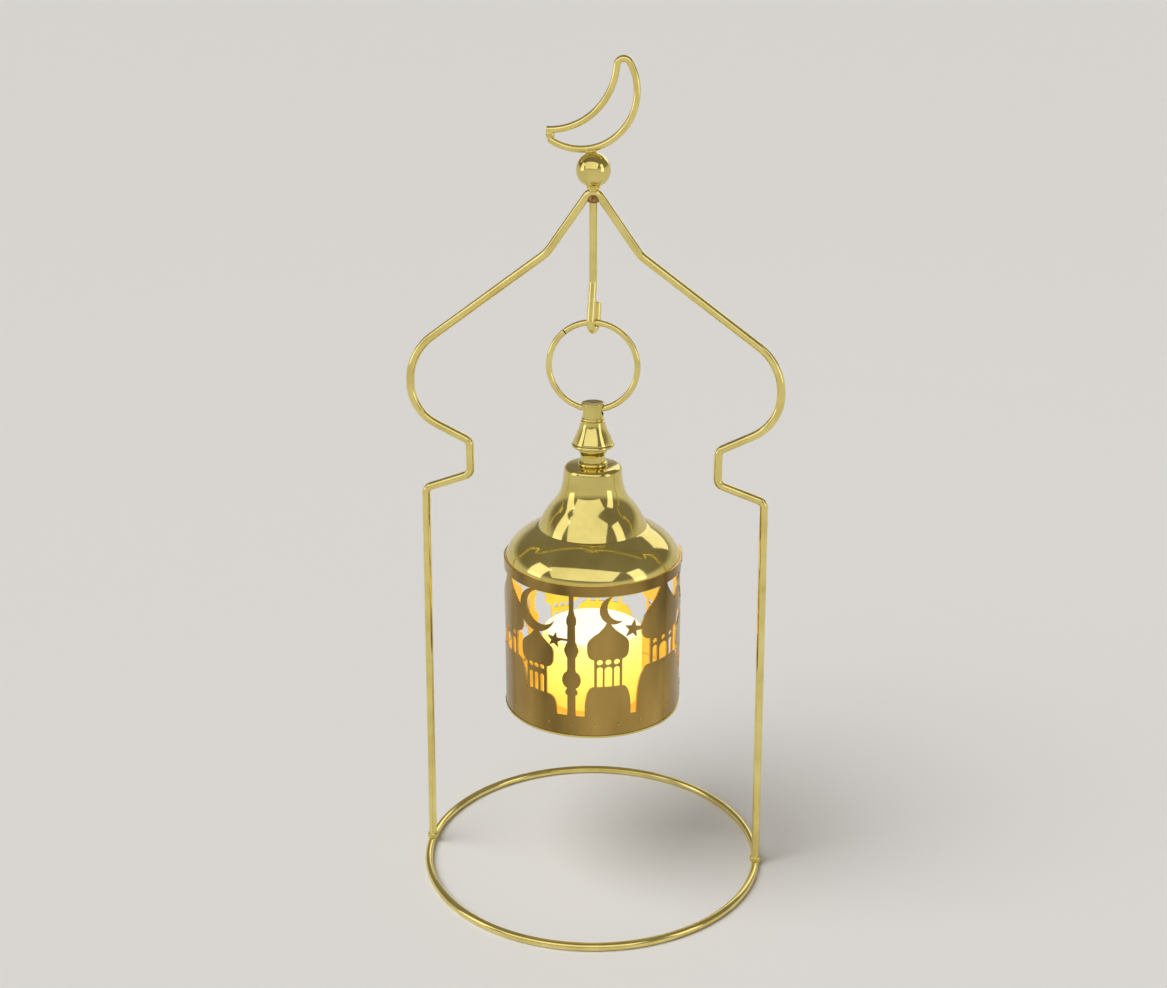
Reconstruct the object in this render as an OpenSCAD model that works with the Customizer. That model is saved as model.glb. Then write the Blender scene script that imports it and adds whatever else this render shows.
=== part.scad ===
// LED lantern that hangs by a ring from a wire stand in the outline of a domed arch

/* [Stand] */
// Diameter of the wire of the base ring and the arch
wire_d = 3; // [2:0.1:4]
// Radius of the base ring, to the middle of its wire
base_r = 64.4; // [62:0.2:74]
// Depth ground off under the base ring, so that it stands flat
base_flat = 0.15; // [0.05:0.05:0.4]
// Half width of the arch at its shoulders
shoulder_x = 62.3; // [58:0.1:70]
// Height of the shoulders above the table
shoulder_z = 150.3; // [140:0.1:170]
// Half width of the arch at its neck
neck_x = 45.4; // [42:0.1:50]
// Height of the neck's lower corner above the shoulders
neck_z = 6.1; // [4:0.1:10]
// Height of the neck's upper corner above its lower one
neck_top_z = 12.7; // [9:0.1:17]
// Slope of the flare above the neck, in degrees
flare_angle = 26.3; // [20:0.1:30]
// Half width of the arch at its widest
bulge_x = 66.8; // [62:0.1:72]
// Height of the widest point above the neck's upper corner
bulge_z = 21.4; // [18:0.1:25]
// Slope of the lower roof, in degrees
roof_angle = 36.5; // [34:0.1:39]
// Half width where the roof gets steeper
roof_bend_x = 16.4; // [13:0.1:20]
// Height where the roof gets steeper, above the widest point
roof_bend_z = 48.3; // [45:0.1:55]
// Height of the corner where the two sides of the roof would meet, above that place
peak_corner_z = 23.3; // [19:0.1:31]
// Radius of the tight bends at the shoulders and the neck
corner_bend_r = 3; // [2.2:0.1:4]
// Radius of the slack bend of the roof
roof_bend_r = 8; // [5:0.5:15]
// Radius of the bend at the peak
peak_bend_r = 2.8; // [2.2:0.1:4]
// Radius of the braze nub at each foot
foot_weld_r = 2.1; // [1.9:0.1:3]

/* [Finial of the stand] */
// Diameter of the ball
ball_d = 12; // [9:0.1:16]
// Diameter of the collar under the ball
collar_d = 4.7; // [4:0.1:6]
// Height of the collar's rim above the arch
collar_h = 0.65; // [0.4:0.05:2]
// Depth to which the collar's saddle reaches down over the arch
saddle_h = 1.2; // [0.6:0.1:2]
// Diameter of the crescent's wire
crescent_d = 2.4; // [1.6:0.1:3]
// Radius of the crescent's outer curve, to the middle of the wire
crescent_r = 19.2; // [15:0.1:24]
// Lean of the crescent on the ball, in degrees
crescent_lean = 9.7; // [0:0.1:20]
// Radius of the crescent's inner curve
crescent_inner_r = 23; // [21:0.1:26]
// Sideways offset of the inner curve's centre from the outer one's
crescent_inner_x = -10.7; // [-12:0.1:-9.5]
// Upward offset of the inner curve's centre from the outer one's
crescent_inner_z = 10.2; // [9:0.1:11.5]
// Radius of the bend at the upper horn
horn_bend_r = 2.4; // [1.8:0.1:3]
// Angle at which the outer curve ends at the lower horn
horn_outer_angle = -124; // [-128:0.5:-110]
// Angle at which the inner curve ends at the lower horn
horn_inner_angle = -92; // [-94:0.5:-80]
// Radius of the braze under the crescent
crescent_weld_r = 1.8; // [1.4:0.1:2.4]
// Radius of the braze between the crescent's two ends
horn_weld_r = 1.7; // [1.5:0.1:2.4]

/* [Hook and ring] */
// Diameter of the hook's rod
hook_d = 2.8; // [2:0.1:3.4]
// Length of the hook, from its top to the middle of the wire at its lowest
hook_l = 45.62; // [40:0.1:55]
// Height of the kink above the lowest point of the hook
kink_h = 17.2; // [12:0.1:22]
// Half width of the hook's bend
hook_w = 3.5; // [3.2:0.1:5]
// Radius of the hook's bend
hook_bend_r = 3.2; // [2.4:0.1:3.4]
// Height of the hook's free tip above its lowest point
hook_tip_h = 9; // [7:0.1:13]
// Outward lean of the free tip
hook_tip_out = 1.4; // [0:0.1:2.5]
// Turn of the hook away from the arch's depth direction, in degrees
hook_turn = 12; // [0:1:20]
// Radius of the braze under the peak
apex_weld_r = 2.7; // [2.2:0.1:3.5]
// Diameter of the hanging ring's wire
ring_d = 2.2; // [1.6:0.1:2.6]
// Radius of the hanging ring, to the middle of its wire
ring_r = 15.9; // [13:0.1:20]
// Width of the split in the hanging ring
ring_split = 0.3; // [0.1:0.1:1]
// Place of the split round the ring, in degrees from the right
ring_split_angle = 129; // [100:1:160]

/* [Knob and cap] */
// Height of the knob
knob_h = 22; // [18:0.1:28]
// Diameter of the knob's head
knob_d = 8.2; // [7.4:0.1:9.4]
// Diameter of the knob's flared skirt
knob_skirt_d = 15.6; // [13:0.1:20]
// Diameter of the knob's neck
knob_neck_d = 9.1; // [8:0.1:10.4]
// Height of the skirt's lip above the knob's foot
skirt_h = 6.6; // [5.6:0.1:7.6]
// Depth of the bead below the knob's top
bead_drop = 6.2; // [5.8:0.1:7.4]
// Diameter of the cross hole for the ring
knob_hole_d = 4; // [3.7:0.1:4.6]
// Height of the knob's head above the middle of the cross hole
knob_head_h = 2.8; // [2.6:0.1:4]
// Diameter of the washer under the knob
washer_d = 10.8; // [9.8:0.1:13]
// Thickness of the washer under the knob
washer_h = 1.4; // [0.8:0.1:2.5]
// Height of the cap above the shell's top edge
cap_h = 34.5; // [28:0.1:42]
// Thickness of the cap's sheet
cap_t = 0.6; // [0.4:0.1:1]
// Radius of the flat on top of the cap
cap_flat_r = 9.6; // [8.5:0.1:10.5]
// Radius of the bell just under that flat
bell_top_r = 10.7; // [10:0.1:12]
// Radius of the crease where the bell meets the dome
crease_r = 20; // [17:0.1:22]
// Height of that crease above the shell's top edge
crease_h = 11.3; // [10:0.1:14]
// Depth of the cap's skirt inside the shell
cap_skirt = 4.4; // [3:0.1:6]
// Shank diameter of the screw in the knob
screw_d = 3; // [2.5:0.5:4]
// Length of the screw's shank
screw_l = 10; // [8:0.5:14]

/* [Shell] */
// Outer radius of the shell
shell_r = 32.9; // [31:0.1:38]
// Thickness of the shell's sheet
shell_t = 0.5; // [0.4:0.05:0.8]
// Height of the shell
shell_h = 58.3; // [57.5:0.1:66]
// Height of the plain band along the bottom
low_band = 7.7; // [7:0.1:9]
// Height of the plain band along the top
top_band = 3.9; // [2.5:0.1:5.5]
// Turn of the whole pattern, in degrees
pattern_turn = -95.9; // [-180:0.1:180]
// How far the sheet's loose end stands off at the seam
seam_lift = 1; // [0:0.1:2]
// Radius of the stake marks along the bottom
stake_r = 0.6; // [0.4:0.1:0.8]

/* [Base and candle] */
// Thickness of the base tray's sheet
tray_t = 0.6; // [0.4:0.1:1]
// Height of the tray's wall inside the shell
tray_h = 6.2; // [4:0.1:7]
// How far the tray's rim stands out past the shell
tray_rim = 0.25; // [0.1:0.05:1]
// Radius of the hole under the candle
tray_hole_r = 16; // [15.9:0.1:16.8]
// Diameter of the candle
candle_d = 37.4; // [37:0.1:40]
// Height of the candle
candle_h = 29; // [26:0.1:38]
// Wall of the candle
candle_t = 1.3; // [1:0.1:1.6]
// Depth of the dish in the candle's top
dish_h = 2.2; // [1.4:0.1:3]
// Diameter of the coin cell
cell_d = 20; // [18:0.5:21]
// Thickness of the coin cell
cell_h = 3.2; // [2.5:0.1:3.4]
// Diameter of the light-emitting diode
led_d = 5; // [4:0.5:6]
// Thickness of the chassis plate
plate_t = 2; // [1.8:0.1:2.4]
// Travel of the switch
switch_travel = 2.3; // [1.5:0.1:2.6]
// Turn that frees the battery cover, in degrees
cover_turn = 30; // [25:1:40]

/* [Fits] */
// Gap at brazed and seated faces
seat_gap = 0.03; // [0.01:0.01:0.1]
// Gap between the ring and what it hangs in or carries
hang_gap = 0.15; // [0.1:0.01:0.25]
// Gap of pieces pushed into each other
push_gap = 0.08; // [0.03:0.01:0.15]
// Gap of the tray's wall in the shell
slip_gap = 0.35; // [0.3:0.05:0.6]

/* [Hidden] */

$fn = 64;
tiny = 0.01;
// How far a cut runs on past the face that it opens
over = 1;

// Wire paths, whose bends are a hair thinner than the wire on both sides and lap into it

joint_lap = 0.2;
joint_step = 0.04;

function unit(v) = v / norm(v);
function turned(v) = [for (i = [len(v) - 1 : -1 : 0]) v[i]];
function flipped(points) = [for (p = turned(points)) [-p[0], p[1]]];
function polar(r, a) = [r * cos(a), r * sin(a)];
function heading(v) = atan2(v[1], v[0]);

// Where two circles cross, on the right of the line from the first centre to the second
function crossing(c1, r1, c2, r2) =
    let (d = norm(c2 - c1), u = (c2 - c1) / d, a = (d * d + r1 * r1 - r2 * r2) / (2 * d))
    c1 + a * u + sqrt(r1 * r1 - a * a) * [u[1], -u[0]];

// Straight length of wire between two points of the drawing plane
module wire_run(a, b, d) {
    translate([a[0], a[1], 0])
        rotate([0, 0, heading(b - a)])
            rotate([0, 90, 0])
                cylinder(d = d, h = norm(b - a));
}

// Bow of wire about a centre, counter-clockwise from one angle by a sweep
module wire_bow(centre, r, start, sweep, d) {
    translate([centre[0], centre[1], 0])
        rotate([0, 0, start])
            rotate_extrude(angle = sweep)
                translate([r, 0])
                    circle(d = d);
}

// Bend between two lengths of wire
module wire_bend(centre, r, start, sweep, d) {
    lap = joint_lap / r * 180 / PI;
    wire_bow(centre, r, start - lap, sweep + 2 * lap, d - joint_step);
}

// Half of the angle inside a corner of a path, and the length that its bend takes off each side
function half_angle(path, i) =
    acos(unit(path[i - 1] - path[i]) * unit(path[i + 1] - path[i])) / 2;
function bend_cut(path, radii, i) =
    (i == 0 || i == len(path) - 1) ? 0 : radii[i] / tan(half_angle(path, i));

// Wire along a path of corners, each with its own bend radius, stood up in the XZ plane
module bent_wire(path, radii, d) {
    last = len(path) - 1;
    rotate([90, 0, 0]) {
        for (i = [0 : last - 1]) {
            u = unit(path[i + 1] - path[i]);
            wire_run(path[i] + bend_cut(path, radii, i) * u,
                     path[i + 1] - bend_cut(path, radii, i + 1) * u, d);
        }
        for (i = [1 : last - 1]) {
            u = unit(path[i - 1] - path[i]);
            v = unit(path[i + 1] - path[i]);
            h = half_angle(path, i);
            centre = path[i] + unit(u + v) * radii[i] / sin(h);
            left_turn = u[0] * v[1] - u[1] * v[0] < 0;
            from = path[i] + bend_cut(path, radii, i) * (left_turn ? u : v);
            wire_bend(centre, radii[i], heading(from - centre), 180 - 2 * h, d);
        }
    }
}

// Points of a curve from a to d with the handles b and c, and several lists of points as one
function curve(a, b, c, d, n) =
    [for (i = [0 : n]) let (t = i / n, s = 1 - t)
        a * s * s * s + 3 * b * s * s * t + 3 * c * s * t * t + d * t * t * t];
function joined(lists) = [for (l = lists) for (p = l) p];

// Heights up the stand, each from the one below it, and down the hanging chain

wire_r = wire_d / 2;
ring_centre_z = wire_r - base_flat;
foot_z = ring_centre_z + wire_r + seat_gap;
neck_low = shoulder_z + neck_z;
neck_high = neck_low + neck_top_z;
bulge_level = neck_high + bulge_z;
roof_level = bulge_level + roof_bend_z;
peak_level = roof_level + peak_corner_z;
peak_slope = atan2(peak_corner_z, roof_bend_x);
peak_z = peak_level - peak_bend_r * (1 / cos(peak_slope) - 1);
arch_top_z = peak_z + wire_r;
ball_r = ball_d / 2;
ball_z = arch_top_z + collar_h + sqrt(ball_r * ball_r - collar_d * collar_d / 4);

hook_r = hook_d / 2;
// The rod's rim butts on the undersides of the two roof wires, in their bend or beside it
butt_r = peak_bend_r - wire_r - seat_gap;
hook_top_z = hook_r < butt_r * sin(peak_slope)
    ? peak_z - peak_bend_r + sqrt(butt_r * butt_r - hook_r * hook_r)
    : peak_level - hook_r * tan(peak_slope) - (wire_r + seat_gap) / cos(peak_slope);
bight_z = hook_top_z - hook_l;
ring_wire_r = ring_d / 2;
// The bend on the kinked side runs on past the middle of the hook, and lifts the ring in it
bend_shift = max(0, hook_bend_r / tan(atan2(kink_h, hook_w) / 2) - hook_w);
bend_room = hook_bend_r - hook_r - ring_wire_r - hang_gap;
ring_lift = bend_shift == 0 ? hook_r + ring_wire_r + hang_gap
    : hook_bend_r - sqrt(max(0, bend_room * bend_room - bend_shift * bend_shift));
ring_top_z = bight_z + ring_lift;
ring_z = ring_top_z - ring_r;
knob_r = knob_d / 2;
// The ring curves up inside the cross hole, so that it bears at the hole's two mouths
mouth_rise = ring_r - sqrt(ring_r * ring_r - knob_r * knob_r);
hole_z = ring_z - ring_r + mouth_rise + ring_wire_r + hang_gap - knob_hole_d / 2;
knob_z = hole_z + knob_head_h - knob_h;
cap_top_z = knob_z - washer_h - 2 * seat_gap;
shell_z = cap_top_z - cap_h - shell_h;

// The tray's rim lies just under the shell's lower edge, and its floor a step lower
rim_gap = 0.1;
rim_step = 0.2;
tray_floor_top = -rim_gap - rim_step;
candle_z = tray_floor_top + push_gap;

// Path of the arch, from its right foot over the peak to its left foot

flare_z = neck_high + (bulge_x - neck_x) * tan(flare_angle);
eave_z = roof_level - (bulge_x - roof_bend_x) * tan(roof_angle);
bulge_run = 1;
flare_bend_r = (bulge_level - bulge_run / 2 - flare_z) * tan((90 + flare_angle) / 2);
eave_bend_r = (eave_z - bulge_level - bulge_run / 2) * tan((90 + roof_angle) / 2);
arch_half = [[base_r, foot_z], [shoulder_x, shoulder_z], [neck_x, neck_low], [neck_x, neck_high],
             [bulge_x, flare_z], [bulge_x, eave_z], [roof_bend_x, roof_level]];
arch_half_bends = [0, corner_bend_r, corner_bend_r, corner_bend_r, flare_bend_r, eave_bend_r, roof_bend_r];
arch_path = concat(arch_half, [[0, peak_level]], flipped(arch_half));
arch_bends = concat(arch_half_bends, [peak_bend_r], turned(arch_half_bends));

// The peak alone, for cutting the pieces that are brazed to it
module peak_wire(d) {
    bent_wire([arch_half[6], [0, peak_level], flipped(arch_half)[0]], [0, peak_bend_r, 0], d);
}

module base_torus(d) {
    translate([0, 0, ring_centre_z])
        rotate_extrude($fn = 128)
            translate([base_r, 0])
                circle(d = d);
}

module base_ring() {
    color("goldenrod")
        difference() {
            base_torus(wire_d);
            translate([0, 0, -wire_d])
                cylinder(r = base_r + wire_d, h = wire_d);
        }
}

module arch_frame() {
    color("goldenrod")
        bent_wire(arch_path, arch_bends, wire_d);
}

module foot_welds() {
    color("darkgoldenrod")
        for (side = [0, 1])
            mirror([side, 0, 0])
                difference() {
                    translate([base_r, 0, foot_z])
                        sphere(r = foot_weld_r);
                    base_torus(wire_d + 2 * seat_gap);
                    bent_wire([arch_half[0] + (arch_half[0] - arch_half[1]) * tiny, arch_half[1]], [0, 0],
                              wire_d + 2 * seat_gap);
                }
}

module apex_weld() {
    color("sienna")
        difference() {
            translate([0, 0, peak_z - wire_r - hook_r / 2])
                sphere(r = apex_weld_r);
            peak_wire(wire_d + 2 * seat_gap);
            translate([0, 0, hook_top_z - hook_d * 2])
                cylinder(d = hook_d + 2 * seat_gap, h = hook_d * 2 + seat_gap);
            // Keeps only the blob below the arch
            translate([-wire_d * 2, -wire_d * 2, peak_z])
                cube([wire_d * 4, wire_d * 4, wire_d * 2]);
        }
}

module finial_collar() {
    color("goldenrod")
        difference() {
            translate([0, 0, arch_top_z - saddle_h])
                cylinder(d = collar_d, h = saddle_h + collar_h + collar_d / 4);
            peak_wire(wire_d + 2 * seat_gap);
            translate([0, 0, ball_z])
                sphere(r = ball_r + seat_gap);
        }
}

module finial_ball() {
    color("gold")
        translate([0, 0, ball_z])
            sphere(r = ball_r);
}

// The crescent leans on the ball: its outer curve touches the ball from above

crescent_c = [0, ball_z] + (ball_r + seat_gap + crescent_d / 2 + crescent_r)
             * [-sin(crescent_lean), cos(crescent_lean)];
crescent_inner_c = crescent_c + [crescent_inner_x, crescent_inner_z];
horn_c = crossing(crescent_c, crescent_r - horn_bend_r, crescent_inner_c, crescent_inner_r + horn_bend_r);
horn_start = heading(horn_c - crescent_c);
horn_end = heading(crescent_inner_c - horn_c);
horn_inner = heading(horn_c - crescent_inner_c);

// The lower horn is open: its braze sits between the two cut ends, a little way in from them
outer_end = crescent_c + polar(crescent_r, horn_outer_angle);
inner_end = crescent_inner_c + polar(crescent_inner_r, horn_inner_angle);
horn_weld_c = (outer_end + inner_end) / 2 + [crescent_d * 0.3, 0];

// Either curve of the crescent, which as a cut runs on past its end
module crescent_outer(d, past = 0) {
    start = horn_outer_angle - past / crescent_r * 180 / PI;
    rotate([90, 0, 0])
        wire_bow(crescent_c, crescent_r, start, horn_start - start, d);
}

module crescent_inner(d, past = 0) {
    start = horn_inner_angle - past / crescent_inner_r * 180 / PI;
    rotate([90, 0, 0])
        wire_bow(crescent_inner_c, crescent_inner_r, start, horn_inner - start, d);
}

module crescent() {
    color("goldenrod") {
        crescent_outer(crescent_d);
        crescent_inner(crescent_d);
        rotate([90, 0, 0])
            wire_bend(horn_c, horn_bend_r, horn_start, horn_end - horn_start, crescent_d);
    }
}

module crescent_weld() {
    color("darkgoldenrod") {
        difference() {
            translate([0, 0, ball_z])
                rotate([0, -crescent_lean, 0])
                    cylinder(r = crescent_weld_r, h = ball_r + crescent_d * 0.3);
            translate([0, 0, ball_z])
                sphere(r = ball_r + seat_gap, $fn = 200);
            crescent_outer(crescent_d + 2 * seat_gap, $fn = 200);
        }
        difference() {
            translate([horn_weld_c[0], 0, horn_weld_c[1]])
                sphere(r = horn_weld_r);
            crescent_outer(crescent_d + 2 * seat_gap, seat_gap, $fn = 200);
            crescent_inner(crescent_d + 2 * seat_gap, seat_gap, $fn = 200);
        }
    }
}

hook_path = [[0, hook_top_z], [0, bight_z + kink_h], [-hook_w, bight_z], [hook_w, bight_z],
             [hook_w + hook_tip_out, bight_z + hook_tip_h]];
hook_bends = [0, 2 * hook_bend_r, hook_bend_r, hook_bend_r, 0];

module hanger_hook() {
    color("goldenrod")
        rotate([0, 0, 90 - hook_turn])
            bent_wire(hook_path, hook_bends, hook_d);
}

module hanging_ring() {
    split = 2 * asin(ring_split / 2 / ring_r);
    color("goldenrod")
        translate([0, 0, ring_z])
            rotate([90, 0, 0])
                wire_bow([0, 0], ring_r, ring_split_angle + split / 2, 360 - split, ring_d);
}

// Knob: a turned outline from the foot up, then the cross hole and the screw hole

screw_clear = 0.05;
screw_head_h = 2;
screw_head_d = 5.8;
screw_bore_r = screw_d / 2 + 0.2;
screw_washer_h = 0.6;
screw_washer_d = 8;
screw_tip_z = screw_l - screw_washer_h - cap_t - washer_h - 4 * seat_gap;
screw_tip_gap = 0.5;

module knob_outline() {
    neck_r = knob_neck_d / 2;
    skirt_r = knob_skirt_d / 2;
    neck_h = 2;
    cove = 1.1;
    lip = 0.5;
    groove = 0.25;
    stem_r = knob_r - groove;
    bead_z = knob_h - bead_drop;
    head_edge = 0.3;
    head_dish = 0.5;
    polygon(joined([
        [[0, 0], [neck_r, 0]],
        curve([neck_r, neck_h], [neck_r, 1.7 * neck_h], [neck_r + cove, 2 * neck_h],
              [neck_r + cove, skirt_h - 3 * lip], 5),
        curve([skirt_r - lip, skirt_h - 2 * lip], [skirt_r + lip / 2, skirt_h - 1.6 * lip],
              [skirt_r + lip / 2, skirt_h], [skirt_r - lip, skirt_h + lip], 6),
        curve([skirt_r - lip, skirt_h + 1.6 * lip], [skirt_r - 3 * lip, skirt_h + 7 * lip],
              [knob_r + lip, skirt_h + 12 * lip], [knob_r + groove, bead_z - 2 * groove], 8),
        curve([stem_r, bead_z - groove], [knob_r + groove, bead_z - groove],
              [knob_r + groove, bead_z + 2 * groove], [stem_r, bead_z + 3 * groove], 6),
        [[stem_r, knob_h - 3 * head_edge], [knob_r, knob_h - 2.5 * head_edge], [knob_r, knob_h - head_edge],
         [knob_r - head_edge, knob_h], [knob_r - 3 * head_edge, knob_h], [0, knob_h - head_dish]]
    ]));
}

module finial_knob() {
    color("gold")
        difference() {
            translate([0, 0, knob_z])
                rotate_extrude()
                    knob_outline();
            translate([-knob_d, 0, hole_z])
                rotate([0, 90, 0])
                    cylinder(d = knob_hole_d, h = 2 * knob_d);
            translate([0, 0, knob_z - tiny])
                cylinder(d = screw_d + 2 * screw_clear, h = screw_tip_z + screw_tip_gap);
        }
}

module knob_washer() {
    washer_r = washer_d / 2;
    edge = 0.3;
    color("goldenrod")
        translate([0, 0, cap_top_z + seat_gap])
            rotate_extrude()
                polygon(joined([
                    [[screw_bore_r, 0], [washer_r - edge, 0]],
                    curve([washer_r, edge], [washer_r + edge / 3, washer_h / 2], [washer_r, washer_h - edge],
                          [washer_r - 2 * edge, washer_h], 5),
                    [[screw_bore_r, washer_h]]
                ]));
}

// Inside of the cap: washer and pan-head screw that holds the knob

screw_seat_z = cap_top_z - cap_t - seat_gap - screw_washer_h;

module screw_washer() {
    color("silver")
        translate([0, 0, screw_seat_z])
            difference() {
                cylinder(d = screw_washer_d, h = screw_washer_h);
                translate([0, 0, -tiny])
                    cylinder(r = screw_bore_r, h = screw_washer_h + 2 * tiny);
            }
}

module knob_screw() {
    slot_w = 0.9;
    slot_depth = 1.1;
    head_r = screw_head_d / 2;
    head_edge = 0.8;
    color("silver")
        translate([0, 0, screw_seat_z - seat_gap])
            difference() {
                union() {
                    cylinder(d = screw_d, h = screw_l);
                    translate([0, 0, -screw_head_h])
                        rotate_extrude()
                            polygon(joined([
                                [[0, 0]],
                                curve([head_r - 1.5 * head_edge, 0], [head_r - head_edge / 2, 0],
                                      [head_r, head_edge / 2], [head_r, head_edge], 5),
                                [[head_r, screw_head_h], [0, screw_head_h]]
                            ]));
                }
                for (a = [0, 90])
                    rotate([0, 0, a])
                        translate([-head_r + head_edge, -slot_w / 2, -screw_head_h - tiny])
                            cube([2 * (head_r - head_edge), slot_w, slot_depth]);
            }
}

// Cap: one spun sheet, drawn by its outer outline and moved inwards by the sheet's thickness

cap_skirt_r = shell_r - shell_t - push_gap;
cap_edge = 2.2;
// Handles of the curves: how straight the bell starts, how it flares, and how the dome leaves the crease
bell_straight = [0.9, 8.1];
bell_flare = [4.2, 10.8];
crease_step = [0.7, 0.15];
dome_shoulder = [6.5, 3];
dome_fall = [0.25, 6.9];
cap_outer = joined([
    [[screw_bore_r, cap_h], [cap_flat_r - cap_edge / 4, cap_h]],
    curve([cap_flat_r, cap_h - cap_edge / 20], [bell_top_r - cap_edge / 7, cap_h - cap_edge / 4],
          [bell_top_r, cap_h - cap_edge / 2], [bell_top_r, cap_h - cap_edge], 4),
    curve([bell_top_r, cap_h - 1.5 * cap_edge],
          [bell_top_r + bell_straight[0], crease_h + bell_straight[1]],
          [crease_r - bell_flare[0], crease_h + bell_flare[1]], [crease_r, crease_h], 14),
    curve([crease_r + crease_step[0], crease_h - crease_step[1]],
          [crease_r + dome_shoulder[0], crease_h - dome_shoulder[1]],
          [cap_skirt_r - dome_fall[0], crease_h - dome_fall[1]], [cap_skirt_r, -cap_edge / 2], 14),
    [[cap_skirt_r, -cap_skirt]]
]);

// Outline moved to its right-hand side by a distance
function inset_point(p, i, t) =
    let (a = p[max(i - 1, 0)], b = p[min(i + 1, len(p) - 1)], u = unit(b - a))
    p[i] + t * [u[1], -u[0]];
function inset(p, t) = [for (i = [0 : len(p) - 1]) inset_point(p, i, t)];

module cap() {
    color("gold")
        translate([0, 0, shell_z + shell_h])
            rotate_extrude($fn = 128)
                polygon(concat(cap_outer, turned(inset(cap_outer, cap_t))));
}

// Pattern of the shell, drawn flat as seen from outside, with heights from the shell's bottom edge

band_z = shell_h - top_band;

// Onion dome: half base, half width, then the heights of the base, the widest place and the tip
function onion(base_x, wide_x, base_z, wide_z, tip_z, tip_x) =
    let (rise = tip_z - wide_z, swell = wide_z - base_z)
    concat(
        curve([base_x, base_z], [wide_x, base_z + swell * 0.1], [wide_x, base_z + swell * 0.5],
              [wide_x, wide_z], 5),
        curve([wide_x, wide_z + rise * 0.05], [wide_x, wide_z + rise * 0.42],
              [wide_x * 0.3, wide_z + rise * 0.55], [tip_x, tip_z], 8));

// Dome that the drum stands on, down to the bottom band
function lower_dome(drum_x, dome_x, drum_z) =
    let (rise = drum_z - low_band)
    concat([[dome_x, low_band - over]],
           curve([dome_x, low_band + rise * 0.15], [dome_x, drum_z - rise * 0.35],
                 [drum_x + (dome_x - drum_x) * 0.7, drum_z], [drum_x, drum_z], 7));

// Whole tower: half widths and heights of drum and domes, then the row of windows with dots above
module tower(drum_x, dome_x, drum_z, onion_base_z, onion_x, onion_wide_z, tip_z, tip_x,
             window_w, window_h, window_pitch, dot_d, dot_z) {
    difference() {
        ledge = 0.2;
        half = concat(lower_dome(drum_x, dome_x, drum_z), [[drum_x, onion_base_z - 2 * ledge]],
                      onion(drum_x + ledge, onion_x, onion_base_z, onion_wide_z, tip_z, tip_x));
        polygon(concat(half, flipped(half)));
        for (k = [-1, 0, 1]) {
            w = window_w[k + 1];
            translate([k * window_pitch, dot_z])
                circle(d = dot_d, $fn = 24);
            translate([k * window_pitch - w / 2, drum_z])
                square([w, window_h - w / 2]);
            translate([k * window_pitch, drum_z + window_h - w / 2])
                circle(d = w, $fn = 24);
        }
    }
}

module tall_tower() {
    tower(drum_x = 6.9, dome_x = 12.4, drum_z = 25.4, onion_base_z = 35.4, onion_x = tall_onion_x,
          onion_wide_z = 40.6, tip_z = band_z + over, tip_x = 1.6,
          window_w = [2.3, 4.6, 2.3], window_h = 6.6, window_pitch = 4.6, dot_d = 2, dot_z = 33.7);
}

module middle_tower() {
    tower(drum_x = 5.1, dome_x = 8.45, drum_z = 19.4, onion_base_z = 30, onion_x = 7.6,
          onion_wide_z = 35, tip_z = 44.2, tip_x = 0.7,
          window_w = [2.1, 2.8, 2.1], window_h = 7.9, window_pitch = 3.1, dot_d = 2.2, dot_z = 29);
    new_moon([2.1, 48.9], 5.3, [5.1, 50], 5.55);
}

module low_tower() {
    tower(drum_x = 4.5, dome_x = 8.5, drum_z = 15.1, onion_base_z = 25.6, onion_x = 7.2,
          onion_wide_z = 31.1, tip_z = 39.2, tip_x = 0.9,
          window_w = [1.6, 1.6, 1.6], window_h = 7.1, window_pitch = 2.5, dot_d = 1.9, dot_z = 24.9);
    new_moon([-0.1, 46.6], 8.1, [2.3, 48.1], 6.6);
}

// Crescent between two circles
module new_moon(outer_c, outer_r, inner_c, inner_r) {
    difference() {
        translate(outer_c)
            circle(r = outer_r);
        translate(inner_c)
            circle(r = inner_r);
    }
}

// Minaret: a slim pole with turned swellings, from the bottom band to the top band
module minaret() {
    half = joined([
        [[1.75, low_band - over], [1.5, low_band + 1.5], [1.5, 15.6]],
        curve([1.6, 15.8], [2.5, 16], [2.5, 17.6], [1.6, 18.2], 4),
        curve([1.7, 18.6], [4, 19.6], [4, 23.8], [1.7, 25], 7),
        [[1.5, 26], [1.5, 30.4], [2.2, 31.6]],
        curve([2.2, 32.2], [2.8, 32.4], [2.8, 34.4], [2.2, 34.6], 4),
        [[2.2, 35.2], [1.5, 36.6], [1.4, 42.4]],
        curve([1.4, 43], [2, 43.4], [2, 46], [1.2, 47], 4),
        [[0.85, 49], [0.85, band_z + over]]
    ]);
    polygon(concat(half, flipped(half)));
}

// Five-pointed star with a bar that ties it to its neighbour on the right
star_points = 5;
star_waist = 0.42;
star_bar_w = 0.7;

module star(centre_z, r, turn, bar_l, bar_z) {
    step = 180 / star_points;
    translate([0, centre_z])
        rotate(turn)
            polygon([for (k = [0 : 2 * star_points - 1])
                polar(k % 2 == 0 ? r : r * star_waist, 90 + k * step)]);
    translate([0, bar_z - star_bar_w / 2])
        square([bar_l, star_bar_w]);
}

// Each drawing is pushed out from the shell's middle as a prism, at its own angle
module at_angle(a) {
    rotate([0, 0, a])
        rotate([90, 0, 90])
            translate([0, 0, shell_r * 0.85])
                linear_extrude(height = shell_r * 0.2)
                    children();
}

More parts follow.
